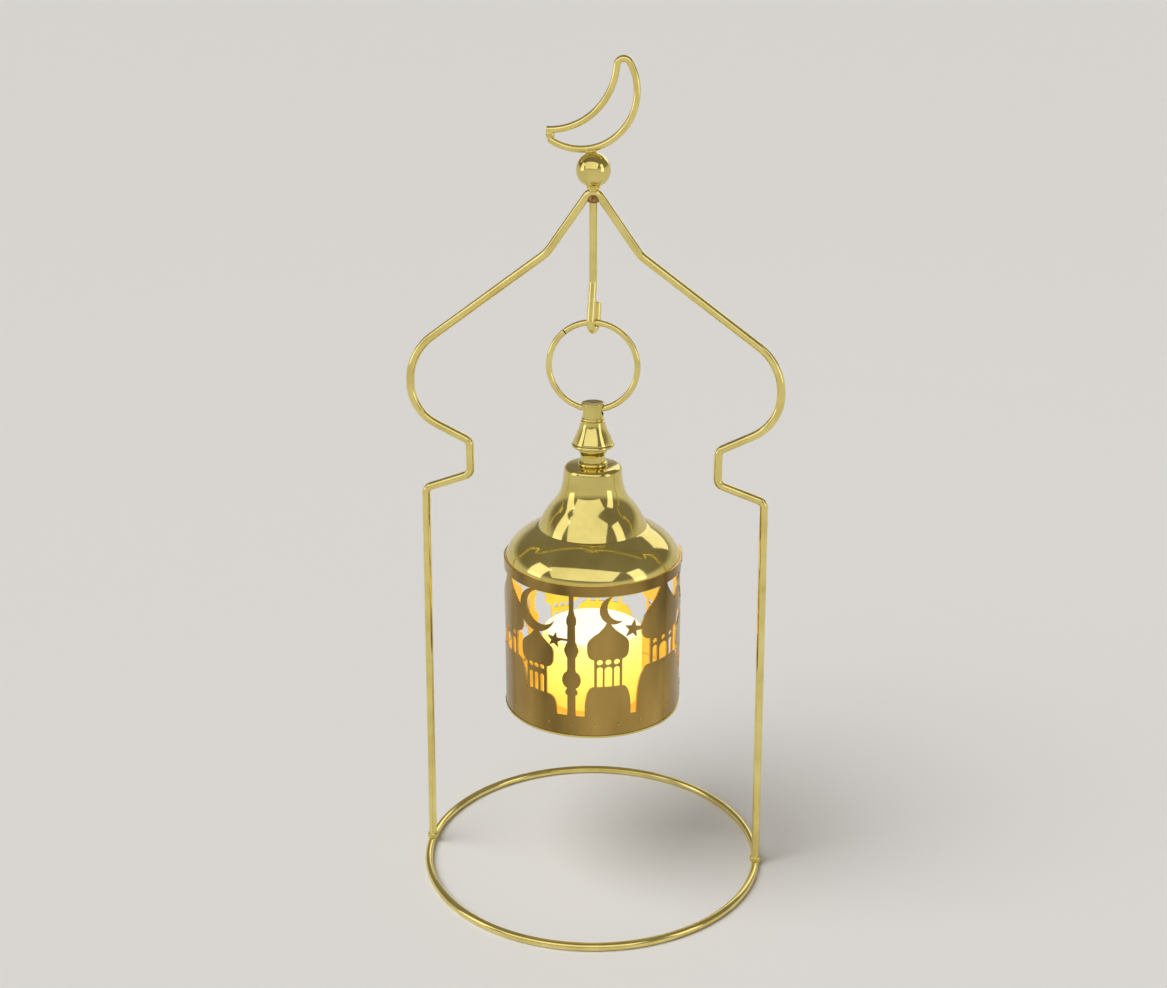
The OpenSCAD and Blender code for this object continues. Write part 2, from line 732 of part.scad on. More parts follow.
// The row of drawings goes round the shell three times, with these angles from its minaret
repeats = 3;
tall_angle = 64.9;
middle_angle = 23.4;
low_angle = -24.7;
low_star_angle = -11.1;
low_star_z = 36.7;
low_star_r = 3.1;
low_star_turn = -9;
low_bar_z = 37.3;
middle_star_angle = 39.6;
middle_star_z = 40.8;
middle_star_r = 3.6;
middle_star_turn = -12;
middle_bar_z = 40.3;

// The low star's bar ends in the minaret's middle, and the middle star's just inside the tall dome
tall_onion_x = 10.6;
bar_lap = 1.1;
function around_shell(from, to) = shell_r * (to - from) * PI / 180;
low_bar_l = around_shell(low_star_angle, 0);
middle_bar_l = around_shell(middle_star_angle, tall_angle) - tall_onion_x + bar_lap;

// Plain bands along the bottom and the top, drawn in by a little on the loose end
module bands(inset = 0) {
    difference() {
        union() {
            cylinder(r = shell_r + over, h = low_band - inset);
            translate([0, 0, band_z + inset])
                cylinder(r = shell_r + over, h = top_band - inset);
        }
        translate([0, 0, -over])
            cylinder(r = shell_r - shell_t - over, h = shell_h + 2 * over);
    }
}

module repeat_of_towers() {
    at_angle(0)
        minaret();
    at_angle(middle_angle)
        middle_tower();
    at_angle(tall_angle)
        tall_tower();
    at_angle(low_angle)
        low_tower();
    at_angle(low_star_angle)
        star(low_star_z, low_star_r, low_star_turn, low_bar_l, low_bar_z);
    at_angle(middle_star_angle)
        star(middle_star_z, middle_star_r, middle_star_turn, middle_bar_l, middle_bar_z);
}

module sheet(r, t) {
    difference() {
        cylinder(r = r, h = shell_h, $fn = 128);
        translate([0, 0, -over])
            cylinder(r = r - t, h = shell_h + 2 * over, $fn = 128);
    }
}

// Loose end of the sheet at the seam, which leaves the drum on a slant from inside its thickness

seam_angle = 360 / repeats;
seam_arc = 17;
flap_t = 0.3;
flap_sink = 0.1;
flap_r = shell_r - flap_sink;
flap_run = flap_r * seam_arc * PI / 180;

module seam_flap() {
    rotate([0, 0, seam_angle - seam_arc])
        translate([flap_r, 0, 0])
            rotate([0, 0, -atan(seam_lift / flap_run)])
                translate([-flap_r, 0, 0])
                    intersection() {
                        sheet(flap_r, flap_t);
                        translate([flap_r * 0.8, 0, flap_sink])
                            cube([flap_r * 0.3, flap_run, shell_h - 2 * flap_sink]);
                        union() {
                            at_angle(seam_arc)
                                minaret();
                            bands(flap_sink);
                        }
                    }
}

stakes = 24;
stake_z = 4.1;
stake_depth = 0.27;

module shell() {
    color("darkgoldenrod")
        translate([0, 0, shell_z])
            rotate([0, 0, pattern_turn]) {
                difference() {
                    intersection() {
                        sheet(shell_r, shell_t);
                        union() {
                            bands();
                            for (k = [0 : repeats - 1])
                                rotate([0, 0, k * 360 / repeats])
                                    repeat_of_towers();
                        }
                    }
                    for (k = [0 : stakes - 1])
                        rotate([0, 0, k * 360 / stakes])
                            translate([shell_r + stake_r - stake_depth, 0, stake_z])
                                sphere(r = stake_r, $fn = 24);
                }
                if (seam_lift > 0)
                    seam_flap();
            }
}

// Base tray: a shallow pan whose rim closes under the shell

rim_r = shell_r + tray_rim;
tray_r = shell_r - shell_t - slip_gap;
tray_low = tray_floor_top - tray_t;
candle_r = candle_d / 2;
tray_ring_r = candle_r + 2 * push_gap;
tray_ring_h = 3;
rim_top = -rim_gap;
rim_chamfer = 0.2;

module base_tray() {
    color("goldenrod")
        translate([0, 0, shell_z])
            rotate_extrude($fn = 128)
                polygon([
                    [tray_hole_r, tray_low], [rim_r - rim_chamfer, tray_low],
                    [rim_r, tray_low + rim_chamfer], [rim_r, rim_top - rim_chamfer],
                    [rim_r - rim_chamfer, rim_top], [tray_r, rim_top],
                    [tray_r, tray_h], [tray_r - tray_t, tray_h], [tray_r - tray_t, tray_floor_top],
                    [tray_ring_r + tray_t, tray_floor_top],
                    [tray_ring_r + tray_t, tray_floor_top + tray_ring_h],
                    [tray_ring_r, tray_floor_top + tray_ring_h], [tray_ring_r, tray_floor_top],
                    [tray_hole_r, tray_floor_top]
                ]);
}

// Candle: a translucent cup, open below, with a dished top and a hole for the light

led_hole_r = led_d / 2 + 0.25;
candle_top_t = 1.4;
candle_edge = 2.2;
candle_chamfer = 1.6;
dish_lip = 3;
dish_run = 6;
dish_r = candle_r - dish_lip - dish_run;
candle_in_r = candle_r - candle_t;
dish_z = candle_h - dish_h;
candle_base_z = shell_z + candle_z;

module candle_body() {
    color("ivory")
        translate([0, 0, candle_base_z])
            rotate_extrude($fn = 128)
                polygon(joined([
                    [[candle_in_r, 0], [candle_r, 0]],
                    curve([candle_r, candle_h - candle_edge], [candle_r, candle_h - candle_edge / 3],
                          [candle_r - candle_edge / 3, candle_h], [candle_r - candle_edge, candle_h], 6),
                    curve([candle_r - dish_lip, candle_h], [candle_r - dish_lip - dish_run / 4, candle_h],
                          [candle_r - dish_lip - dish_run / 2, dish_z], [dish_r, dish_z], 8),
                    [[led_hole_r, dish_z], [led_hole_r, dish_z - candle_top_t],
                     [candle_in_r - candle_chamfer, dish_z - candle_top_t],
                     [candle_in_r, dish_z - candle_top_t - candle_chamfer]]
                ]));
}

// Chassis: plate with the battery pocket, the bayonet of the cover, the switch slot and the light's post

plate_z = 0.4;
plate_top = plate_z + plate_t;
plate_r = candle_in_r - push_gap;
cell_r = cell_d / 2;
pocket_r = cell_r + 0.8;
pocket_t = 1.2;
cover_t = 1.5;
cover_r = pocket_r + 0.5;
cover_gap = 0.1;
cover_tab = 0.8;
cover_tab_h = 0.6;
cover_tab_z = plate_z + 0.5;
cover_tab_angle = 20;
cell_z = plate_z + cover_t + 0.15;
roof_z = cell_z + cell_h + 1.15;
roof_t = 1.2;
post_r = 3.4;
led_flange_h = 1;
led_flange = 0.4;
led_body_h = 4.4;
led_drop = 1;
led_seat_z = candle_h - led_drop - led_body_h - led_flange_h;
contact_w = 3;
contact_t = 0.3;
contact_gap = 0.15;
contact_tail = 0.2;
contact_x = cell_r + 0.25;
leaf_x = -cell_r + 0.6;
board_t = 1;
board_z = roof_z + roof_t + seat_gap;
contact_top = board_z + board_t + contact_tail;
switch_size = [8.6, 3.7, 3.4];
switch_margin = 0.5;
switch_y = -(cover_r + cover_tab + switch_margin + switch_size[1] / 2);
stem_size = [2.4, 2];
slot_gap = 0.2;
notch_slack = 4;

// Ring sector, for the bayonet's tabs and notches
module sector(r_in, r_out, span, h) {
    rotate([0, 0, -span / 2])
        rotate_extrude(angle = span)
            translate([r_in, 0])
                square([r_out - r_in, h]);
}

module candle_chassis() {
    groove_r = cover_r + cover_tab + cover_gap;
    stem_slot = [stem_size[0] + switch_travel + 2 * slot_gap, stem_size[1] + 2 * slot_gap];
    color("white")
        translate([0, 0, candle_base_z])
            difference() {
                union() {
                    translate([0, 0, plate_z])
                        cylinder(r = plate_r, h = plate_t);
                    translate([0, 0, plate_top - tiny])
                        cylinder(r = pocket_r + pocket_t, h = roof_z + roof_t - plate_top + tiny);
                    translate([0, 0, roof_z])
                        cylinder(r = post_r, h = led_seat_z - roof_z);
                }
                // Pocket for the cell and seat of the cover
                translate([0, 0, plate_z - over])
                    cylinder(r = pocket_r, h = roof_z - plate_z + over);
                translate([0, 0, plate_z - over])
                    cylinder(r = cover_r + cover_gap, h = cover_t + cover_gap + over);
                // Groove and entry notches of the bayonet
                translate([0, 0, cover_tab_z - cover_gap])
                    cylinder(r = groove_r, h = cover_tab_h + 2 * cover_gap);
                for (a = [0, 180])
                    rotate([0, 0, a + cover_turn])
                        translate([0, 0, plate_z - over])
                            sector(cover_r - over, groove_r, cover_tab_angle + notch_slack,
                                   cover_tab_z - plate_z + over + cover_gap);
                // Slots in the roof for the two contacts
                for (x = [contact_x, leaf_x])
                    translate([x - contact_gap, -contact_w / 2 - contact_gap, roof_z - over])
                        cube([contact_t + 2 * contact_gap, contact_w + 2 * contact_gap, roof_t + 2 * over]);
                // Slot for the switch's stem
                translate([-stem_slot[0] / 2, switch_y - stem_slot[1] / 2, plate_z - over])
                    cube([stem_slot[0], stem_slot[1], plate_t + 2 * over]);
            }
}

module led() {
    led_r = led_d / 2;
    color("white")
        translate([0, 0, candle_base_z + led_seat_z + seat_gap]) {
            cylinder(r = led_r + led_flange, h = led_flange_h);
            translate([0, 0, led_flange_h])
                rotate_extrude()
                    polygon(joined([
                        [[0, 0], [led_r, 0]],
                        curve([led_r, led_body_h - led_r], [led_r, led_body_h - led_r * 0.45],
                              [led_r * 0.55, led_body_h], [0, led_body_h], 8)
                    ]));
        }
}

module circuit_board() {
    board = [18, 14];
    color("darkgreen")
        translate([0, 0, candle_base_z + board_z])
            linear_extrude(height = board_t)
                difference() {
                    translate([-board[0] / 2, -board[1] / 2])
                        square(board);
                    circle(r = post_r + contact_gap);
                }
}

module coin_cell() {
    rim = 0.6;
    edge = 0.3;
    color("silver")
        translate([0, 0, candle_base_z + cell_z])
            rotate_extrude()
                polygon([[0, 0], [cell_r - edge, 0], [cell_r, edge], [cell_r, cell_h - rim],
                         [cell_r - rim, cell_h - rim], [cell_r - 2 * rim, cell_h], [0, cell_h]]);
}

// Side contact: a strip beside the cell, up through the roof to the board
module positive_contact() {
    foot_z = cell_z + 0.4;
    color("silver")
        translate([contact_x, -contact_w / 2, candle_base_z + foot_z])
            cube([contact_t, contact_w, contact_top - foot_z]);
}

// Leaf contact: a strip through the roof that is bent down on to the cell's face
module negative_contact() {
    bend_z = roof_z - 0.25;
    bend_x = leaf_x + 2;
    touch_z = cell_z + cell_h + 0.1;
    touch_x = leaf_x + cell_r;
    toe = 1;
    color("silver")
        translate([0, contact_w / 2, candle_base_z])
            rotate([90, 0, 0])
                linear_extrude(height = contact_w)
                    polygon([[leaf_x, contact_top], [leaf_x, bend_z - contact_t],
                             [bend_x, bend_z - contact_t], [touch_x, touch_z],
                             [touch_x + toe, touch_z + contact_t],
                             [touch_x + toe, touch_z + 2 * contact_t], [touch_x, touch_z + contact_t],
                             [bend_x, bend_z], [leaf_x + contact_t, bend_z],
                             [leaf_x + contact_t, contact_top]]);
}

// Slide switch: a metal can on the plate, and the slider that sticks out below
slider_head = [3.6, 2.6, 1];
slider_z = plate_top + 0.3;
stem_proud = 0.7;

module switch_body() {
    cavity = [slider_head[0] + switch_travel + 2 * slot_gap, slider_head[1] + slot_gap,
              slider_head[2] + 2 * slot_gap];
    color("dimgray")
        translate([0, switch_y, candle_base_z + plate_top + seat_gap])
            difference() {
                translate([-switch_size[0] / 2, -switch_size[1] / 2, 0])
                    cube(switch_size);
                translate([-cavity[0] / 2, -cavity[1] / 2, -tiny])
                    cube(cavity + [0, 0, tiny]);
            }
}

module switch_slider() {
    stem_low = plate_z - stem_proud;
    color("black")
        translate([-switch_travel / 2, switch_y, candle_base_z]) {
            translate([-stem_size[0] / 2, -stem_size[1] / 2, stem_low])
                cube([stem_size[0], stem_size[1], slider_z - stem_low + tiny]);
            translate([-slider_head[0] / 2, -slider_head[1] / 2, slider_z])
                cube(slider_head);
        }
}

module battery_cover() {
    slot = [13, 1.6, 0.7];
    color("white")
        translate([0, 0, candle_base_z])
            difference() {
                union() {
                    translate([0, 0, plate_z])
                        cylinder(r = cover_r, h = cover_t);
                    for (a = [0, 180])
                        rotate([0, 0, a])
                            translate([0, 0, cover_tab_z])
                                sector(cover_r - over, cover_r + cover_tab, cover_tab_angle, cover_tab_h);
                }
                translate([-slot[0] / 2, -slot[1] / 2, plate_z - tiny])
                    cube(slot);
            }
}

base_ring();
arch_frame();
foot_welds();
apex_weld();
finial_collar();
finial_ball();
crescent();
crescent_weld();
hanger_hook();
hanging_ring();
finial_knob();
knob_washer();
knob_screw();
screw_washer();
cap();
shell();
base_tray();
candle_body();
candle_chassis();
led();
circuit_board();
coin_cell();
positive_contact();
negative_contact();
switch_body();
switch_slider();
battery_cover();
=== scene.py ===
import math

import bpy
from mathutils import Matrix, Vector


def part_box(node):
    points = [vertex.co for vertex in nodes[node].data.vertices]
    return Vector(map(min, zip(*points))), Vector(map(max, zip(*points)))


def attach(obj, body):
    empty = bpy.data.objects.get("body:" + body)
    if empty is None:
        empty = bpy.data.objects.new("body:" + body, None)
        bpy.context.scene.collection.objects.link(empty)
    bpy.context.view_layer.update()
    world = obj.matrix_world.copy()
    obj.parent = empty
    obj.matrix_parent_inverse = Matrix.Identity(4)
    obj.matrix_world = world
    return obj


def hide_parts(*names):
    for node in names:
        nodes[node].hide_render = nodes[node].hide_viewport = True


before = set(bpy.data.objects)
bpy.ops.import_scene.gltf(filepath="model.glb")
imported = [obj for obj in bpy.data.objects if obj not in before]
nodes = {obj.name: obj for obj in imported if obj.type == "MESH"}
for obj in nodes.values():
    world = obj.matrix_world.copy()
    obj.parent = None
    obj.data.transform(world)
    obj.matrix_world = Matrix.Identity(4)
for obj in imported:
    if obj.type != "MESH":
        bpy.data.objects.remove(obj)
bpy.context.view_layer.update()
mm = 0.001
print("frame loaded:", len(nodes), "CAD nodes")


# camera at the photograph's place: it looks slightly down, from a little to the right of the arch
cameraView = {"distance": 0.539, "height": 0.3374, "around": 7.415, "down": 19.11, "aside": -0.36,
              "lens": 48.11, "nearest": 0.01}


def placeCamera():
    around = math.radians(cameraView["around"])
    down = math.radians(cameraView["down"])
    turn = around - math.radians(cameraView["aside"])
    spot = Vector((math.sin(around), -math.cos(around), 0)) * cameraView["distance"]
    spot.z = cameraView["height"]
    look = Vector((-math.sin(turn) * math.cos(down), math.cos(turn) * math.cos(down), -math.sin(down)))
    bpy.ops.object.camera_add(location=spot, rotation=look.to_track_quat("-Z", "Y").to_euler())
    eye = bpy.context.object
    eye.name = "photoCamera"
    eye.data.lens = cameraView["lens"]
    eye.data.clip_start = cameraView["nearest"]
    bpy.context.scene.camera = eye


# small tools of the bench; a cut wire end is rounded by shares of the wire's radius
bench = {"weld": 0.002 * mm, "shortest": 0.01 * mm, "endInset": 0.3, "endSwell": 0.18}


def setMode(mode):
    bpy.ops.object.mode_set(mode=mode)


def clearSelection():
    if bpy.context.object and bpy.context.object.mode != "OBJECT":
        setMode("OBJECT")
    bpy.ops.object.select_all(action="DESELECT")


def choose(piece):
    clearSelection()
    piece.select_set(True)
    bpy.context.view_layer.objects.active = piece


def openForEdit(piece):
    choose(piece)
    setMode("EDIT")
    bpy.ops.mesh.select_all(action="SELECT")


def settle():
    bpy.ops.object.transform_apply(location=True, rotation=True, scale=True)


def newPiece(name):
    # what was just added gets its place into its mesh and is open for edit
    piece = bpy.context.object
    piece.name = name
    piece.data.name = name
    settle()
    openForEdit(piece)
    return piece


def weldAndTurnOut():
    bpy.ops.mesh.select_all(action="SELECT")
    bpy.ops.mesh.remove_doubles(threshold=bench["weld"])
    bpy.ops.mesh.normals_make_consistent(inside=False)
    setMode("OBJECT")


def applyModifier(piece, kind, **settings):
    choose(piece)
    modifier = piece.modifiers.new(kind.lower(), kind)
    for key, value in settings.items():
        setattr(modifier, key, value)
    bpy.ops.object.modifier_apply(modifier=modifier.name)


def cutWith(piece, tool, operation="DIFFERENCE", **settings):
    applyModifier(piece, "BOOLEAN", operation=operation, solver="EXACT", object=tool, **settings)
    bpy.data.objects.remove(tool)


def cleanCut(piece):
    # a cut leaves doubled points along its edges
    openForEdit(piece)
    weldAndTurnOut()


def dress(piece, body, material, stands=(), smooth=38):
    choose(piece)
    bpy.ops.object.shade_smooth_by_angle(angle=math.radians(smooth))
    piece.data.materials.clear()
    piece.data.materials.append(material)
    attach(piece, body)
    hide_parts(*stands)


def bow(a, b, c, d, count):
    # points of a curve from a to d, with the handles b and c
    points = []
    for i in range(count + 1):
        t = i / count
        s = 1 - t
        points.append(tuple(s ** 3 * a[k] + 3 * s * s * t * b[k] + 3 * s * t * t * c[k] + t ** 3 * d[k]
                            for k in range(2)))
    return points


def boxOutline(left, right, foot, top):
    return [(left, foot), (right, foot), (right, top), (left, top)]


def closed(line):
    return line + line[:1]


def mirrored(half):
    return half + [(-x, z) for x, z in reversed(half)]


def push(way):
    bpy.ops.mesh.extrude_region_move(TRANSFORM_OT_translate={"value": way})


def drawLine(name, points):
    # a plane is merged to one point, and the point is then extruded along the line
    clearSelection()
    first = Vector(points[0])
    bpy.ops.mesh.primitive_plane_add(size=mm, location=first)
    piece = newPiece(name)
    bpy.ops.mesh.merge(type="CENTER")
    at = first
    for point in points[1:]:
        push(Vector(point) - at)
        at = Vector(point)
    bpy.ops.mesh.select_all(action="SELECT")
    return piece


def turnOnLathe(name, outline, foot, steps):
    # outline: radius and height in millimetres, with heights from the foot
    piece = drawLine(name, [(r * mm, 0, foot + z * mm) for r, z in outline])
    bpy.ops.mesh.spin(steps=steps, angle=2 * math.pi, center=(0, 0, 0), axis=(0, 0, 1))
    weldAndTurnOut()
    return piece


def startWire(name, at, heading, radius, sides=24, fill="NGON"):
    clearSelection()
    bpy.ops.mesh.primitive_circle_add(vertices=sides, radius=radius, fill_type=fill, location=at,
                                      rotation=heading.to_track_quat("Z", "Y").to_euler())
    return newPiece(name)


def bendWire(centre, axis, angle, stepDegrees=6):
    # with no window, spin turns the other way, so the angle is negative
    steps = max(3, math.ceil(abs(math.degrees(angle)) / stepDegrees))
    bpy.ops.mesh.spin(steps=steps, angle=-angle, center=centre, axis=axis)


def isWireEnd(face):
    return len(face.vertices) > 4


def cutEnds(radius):
    # both cut ends of the wire get a small rounded edge
    bpy.ops.mesh.select_all(action="DESELECT")
    setMode("OBJECT")
    mesh = bpy.context.object.data
    for face in mesh.polygons:
        face.select = isWireEnd(face)
    setMode("EDIT")
    bpy.ops.mesh.select_mode(type="FACE")
    bpy.ops.mesh.inset(thickness=radius * bench["endInset"])
    setMode("OBJECT")
    for face in mesh.polygons:
        if isWireEnd(face):
            for i in face.vertices:
                mesh.vertices[i].co += face.normal * radius * bench["endSwell"]
    setMode("EDIT")
    bpy.ops.mesh.select_mode(type="VERT")


def bentWire(name, corners, radii, radius):
    # straights between the corners, with a round bend of its own radius at each corner
    heading = (corners[1] - corners[0]).normalized()
    piece = startWire(name, corners[0], heading, radius)
    at = corners[0]
    for i in range(1, len(corners) - 1):
        back = (corners[i - 1] - corners[i]).normalized()
        onward = (corners[i + 1] - corners[i]).normalized()
        half = back.angle(onward) / 2
        trim = radii[i] / math.tan(half)
        centre = corners[i] + (back + onward).normalized() * radii[i] / math.sin(half)
        entry = corners[i] + back * trim
        if (entry - at).length > bench["shortest"]:
            push(entry - at)
        bendWire(centre, (-back).cross(onward).normalized(), math.pi - 2 * half)
        at = corners[i] + onward * trim
    push(corners[-1] - at)
    cutEnds(radius)
    weldAndTurnOut()
    return piece


# finishes

def nodeTree(name):
    material = bpy.data.materials.new(name)
    material.use_nodes = True
    tree = material.node_tree
    tree.nodes.clear()
    out = tree.nodes.new("ShaderNodeOutputMaterial")
    shader = tree.nodes.new("ShaderNodeBsdfPrincipled")
    tree.links.new(shader.outputs["BSDF"], out.inputs["Surface"])
    return material, tree, shader


def mapped(tree, stretch=(1, 1, 1)):
    place = tree.nodes.new("ShaderNodeTexCoord")
    mapping = tree.nodes.new("ShaderNodeMapping")
    mapping.inputs["Scale"].default_value = stretch
    tree.links.new(place.outputs["Object"], mapping.inputs["Vector"])
    return mapping.outputs["Vector"]


def noise(tree, scale, detail=4, rough=0.55, stretch=(1, 1, 1)):
    texture = tree.nodes.new("ShaderNodeTexNoise")
    texture.inputs["Scale"].default_value = scale
    texture.inputs["Detail"].default_value = detail
    texture.inputs["Roughness"].default_value = rough
    tree.links.new(mapped(tree, stretch), texture.inputs["Vector"])
    return texture.outputs["Fac"]


def spread(tree, source, low, high, fromLow=0.3, fromHigh=0.7):
    ranged = tree.nodes.new("ShaderNodeMapRange")
    limits = {"From Min": fromLow, "From Max": fromHigh, "To Min": low, "To Max": high}
    for socket, value in limits.items():
        ranged.inputs[socket].default_value = value
    tree.links.new(source, ranged.inputs["Value"])
    return ranged.outputs["Result"]


def ramp(tree, source, stops):
    colours = tree.nodes.new("ShaderNodeValToRGB")
    band = colours.color_ramp
    while len(band.elements) < len(stops):
        band.elements.new(0.5)
    for element, (place, colour) in zip(band.elements, stops):
        element.position = place
        element.color = (*colour, 1)
    tree.links.new(source, colours.inputs["Fac"])
    return colours.outputs["Color"]


def bump(tree, shader, source, strength, depth):
    node = tree.nodes.new("ShaderNodeBump")
    node.inputs["Strength"].default_value = strength
    node.inputs["Distance"].default_value = depth
    tree.links.new(source, node.inputs["Height"])
    tree.links.new(node.outputs["Normal"], shader.inputs["Normal"])


def addUp(tree, first, second, share=1.0):
    total = tree.nodes.new("ShaderNodeMath")
    total.operation = "MULTIPLY_ADD"
    total.inputs[1].default_value = share
    tree.links.new(second, total.inputs[0])
    tree.links.new(first, total.inputs[2])
    return total.outputs[0]


# cloud, smear, rings and marks are scales of noise, and gloss is the range of the roughness
plating = {"stops": (0.25, 0.55, 0.8), "ringBend": 2.5, "ringDetail": 3, "smearShare": 0.5,
           "markDepth": 0.02 * mm, "grainTurn": 0.25}


def platedGold(name, look):
    # cloudy tone, uneven gloss and fine marks left by the drawing die, the lathe or the roller
    material, tree, shader = nodeTree(name)
    shader.inputs["Metallic"].default_value = 1.0
    cloud = noise(tree, look["cloud"], 3, stretch=look.get("drift", (1, 1, 1)))
    colour = ramp(tree, cloud, list(zip(look.get("stops", plating["stops"]), look["tones"])))
    tree.links.new(colour, shader.inputs["Base Color"])
    smear = noise(tree, look["smear"], 6, 0.65)
    tree.links.new(spread(tree, smear, *look["gloss"]), shader.inputs["Roughness"])
    if look.get("rings"):
        wave = tree.nodes.new("ShaderNodeTexWave")
        wave.wave_type = "RINGS"
        wave.rings_direction = "Z"
        wave.inputs["Scale"].default_value = look["rings"]
        wave.inputs["Distortion"].default_value = plating["ringBend"]
        wave.inputs["Detail"].default_value = plating["ringDetail"]
        tree.links.new(mapped(tree), wave.inputs["Vector"])
        marks = wave.outputs["Fac"]
    else:
        marks = noise(tree, look["marks"], 3, 0.6, look["along"])
    bump(tree, shader, addUp(tree, marks, smear, plating["smearShare"]), look["depth"], plating["markDepth"])
    if look.get("glow"):
        # painted glow: this side shines by itself in its own colour, standing in for the candle's light
        tree.links.new(colour, shader.inputs["Emission Color"])
        shader.inputs["Emission Strength"].default_value = look["glow"]
    if look.get("brushed"):
        # grain round the drum draws the highlights out upright
        shader.inputs["Anisotropic"].default_value = look["brushed"]
        shader.inputs["Anisotropic Rotation"].default_value = plating["grainTurn"]
    return material


goldTones = ((0.60, 0.49, 0.145), (0.76, 0.64, 0.21), (0.82, 0.71, 0.26))
wireGold = platedGold("wireGold", {
    "tones": ((0.70, 0.57, 0.18), (0.85, 0.72, 0.26), (0.91, 0.79, 0.32)),
    "cloud": 90, "smear": 420, "gloss": (0.07, 0.15), "marks": 260, "along": (1, 1, 1), "depth": 0.02})
turnedGold = platedGold("turnedGold", {
    "tones": goldTones, "cloud": 120, "smear": 500, "gloss": (0.05, 0.12), "rings": 260, "depth": 0.05})
spunGold = platedGold("spunGold", {
    "tones": goldTones, "cloud": 60, "smear": 260, "gloss": (0.05, 0.12), "rings": 190, "depth": 0.05})
lumpGold = platedGold("lumpGold", {
    "tones": goldTones, "cloud": 400, "smear": 900, "gloss": (0.18, 0.38), "marks": 1600,
    "along": (1, 1, 1), "depth": 0.5})
# painted reflection: the rolled sheet is toned dark brown with soft upright streaks, standing in for what its
# polished face reflects
sheetGoldPaintedReflections = platedGold("sheetGoldPaintedReflections", {
    "tones": ((0.16, 0.105, 0.03), (0.33, 0.215, 0.058), (0.54, 0.36, 0.10)), "stops": (0.36, 0.48, 0.66),
    "cloud": 34, "drift": (1, 1, 0.3), "smear": 300, "gloss": (0.17, 0.27), "brushed": 0.8,
    "marks": 900, "along": (0.08, 0.08, 1), "depth": 0.08})
# painted highlight: a brighter gold for the sheet's cut edges, standing in for the light they catch
edgeHighlightGold = platedGold("edgeHighlightGold", {
    "tones": ((0.70, 0.48, 0.16), (0.86, 0.64, 0.26), (0.92, 0.74, 0.36)),
    "cloud": 300, "smear": 1200, "gloss": (0.18, 0.34), "marks": 2600, "along": (1, 1, 0.2), "depth": 0.15})
# near black: partly unplated steel, partly painted shade where the ring is split
bareCutAndShade = platedGold("bareCutAndShade", {
    "tones": ((0.035, 0.026, 0.015), (0.07, 0.052, 0.03), (0.12, 0.09, 0.05)),
    "cloud": 900, "smear": 1500, "gloss": (0.4, 0.6), "marks": 3000, "along": (1, 1, 1), "depth": 0.3})
# painted glow: an orange gold that shines by itself, for the sides that face the candle, standing in for its
# light
innerPaintedGlowGold = platedGold("innerPaintedGlowGold", {
    "tones": ((0.66, 0.44, 0.09), (0.80, 0.56, 0.12), (0.87, 0.65, 0.17)), "glow": 0.44,
    "cloud": 60, "smear": 300, "gloss": (0.22, 0.36), "marks": 900, "along": (0.08, 0.08, 1), "depth": 0.1})


def coat(tree, shader, look, tone, gloss, relief):
    # colour, roughness and relief, each from its own texture
    tree.links.new(ramp(tree, tone, look["tones"]), shader.inputs["Base Color"])
    tree.links.new(spread(tree, gloss, *look["gloss"]), shader.inputs["Roughness"])
    bump(tree, shader, relief, look["bump"], look["depth"])


def lightUp(tree, shader, look, level):
    # shines by itself, with its glow and its colour along the same level
    shader.inputs["Roughness"].default_value = look["gloss"]
    shader.inputs["Emission Strength"].default_value = look["power"]
    tree.links.new(ramp(tree, level, look["glow"]), shader.inputs["Emission Color"])
    tree.links.new(ramp(tree, level, look["body"]), shader.inputs["Base Color"])


brazeLook = {"metal": 0.85, "grain": 900, "gloss": (0.28, 0.55), "bump": 0.5, "depth": 0.1 * mm,
             "tones": [(0.3, (0.13, 0.06, 0.02)), (0.5, (0.33, 0.19, 0.07)), (0.72, (0.58, 0.42, 0.16))]}


def brazeFinish():
    material, tree, shader = nodeTree("braze")
    shader.inputs["Metallic"].default_value = brazeLook["metal"]
    grain = noise(tree, brazeLook["grain"], 6, 0.7)
    coat(tree, shader, brazeLook, grain, grain, grain)
    return material


candleLook = {"gloss": 0.45, "power": 1.0, "wax": 160, "waxy": 0.035, "side": 0.6, "top": 0.4,
              "rim": (0.84, 0.97), "grain": 700, "bump": 0.15, "depth": 0.05 * mm,
              "glow": [(0.0, (0.92, 0.60, 0.07)), (0.18, (0.96, 0.76, 0.11)), (0.36, (0.98, 0.89, 0.17)),
                       (0.56, (1.0, 0.95, 0.27)), (0.84, (1.0, 0.98, 0.90))],
              "body": [(0.0, (0.34, 0.25, 0.07)), (0.6, (0.42, 0.36, 0.14))]}


def candleFinish(low, high, reach):
    # lit from inside: near white on top, warm yellow down the side
    look = candleLook
    material, tree, shader = nodeTree("litCandle")
    place = tree.nodes.new("ShaderNodeTexCoord")
    parts = tree.nodes.new("ShaderNodeSeparateXYZ")
    tree.links.new(place.outputs["Object"], parts.inputs["Vector"])
    height = spread(tree, parts.outputs["Z"], 0.0, look["side"], low, high)
    waxy = addUp(tree, height, spread(tree, noise(tree, look["wax"], 3), -look["waxy"], look["waxy"]))
    across = tree.nodes.new("ShaderNodeVectorMath")
    across.operation = "LENGTH"
    tree.links.new(mapped(tree, (1, 1, 0)), across.inputs[0])
    rimStart, rimEnd = look["rim"]
    top = spread(tree, across.outputs["Value"], look["top"], 0.0, rimStart * reach, rimEnd * reach)
    lightUp(tree, shader, look, addUp(tree, waxy, top))
    bump(tree, shader, noise(tree, look["grain"], 4), look["bump"], look["depth"])
    return material


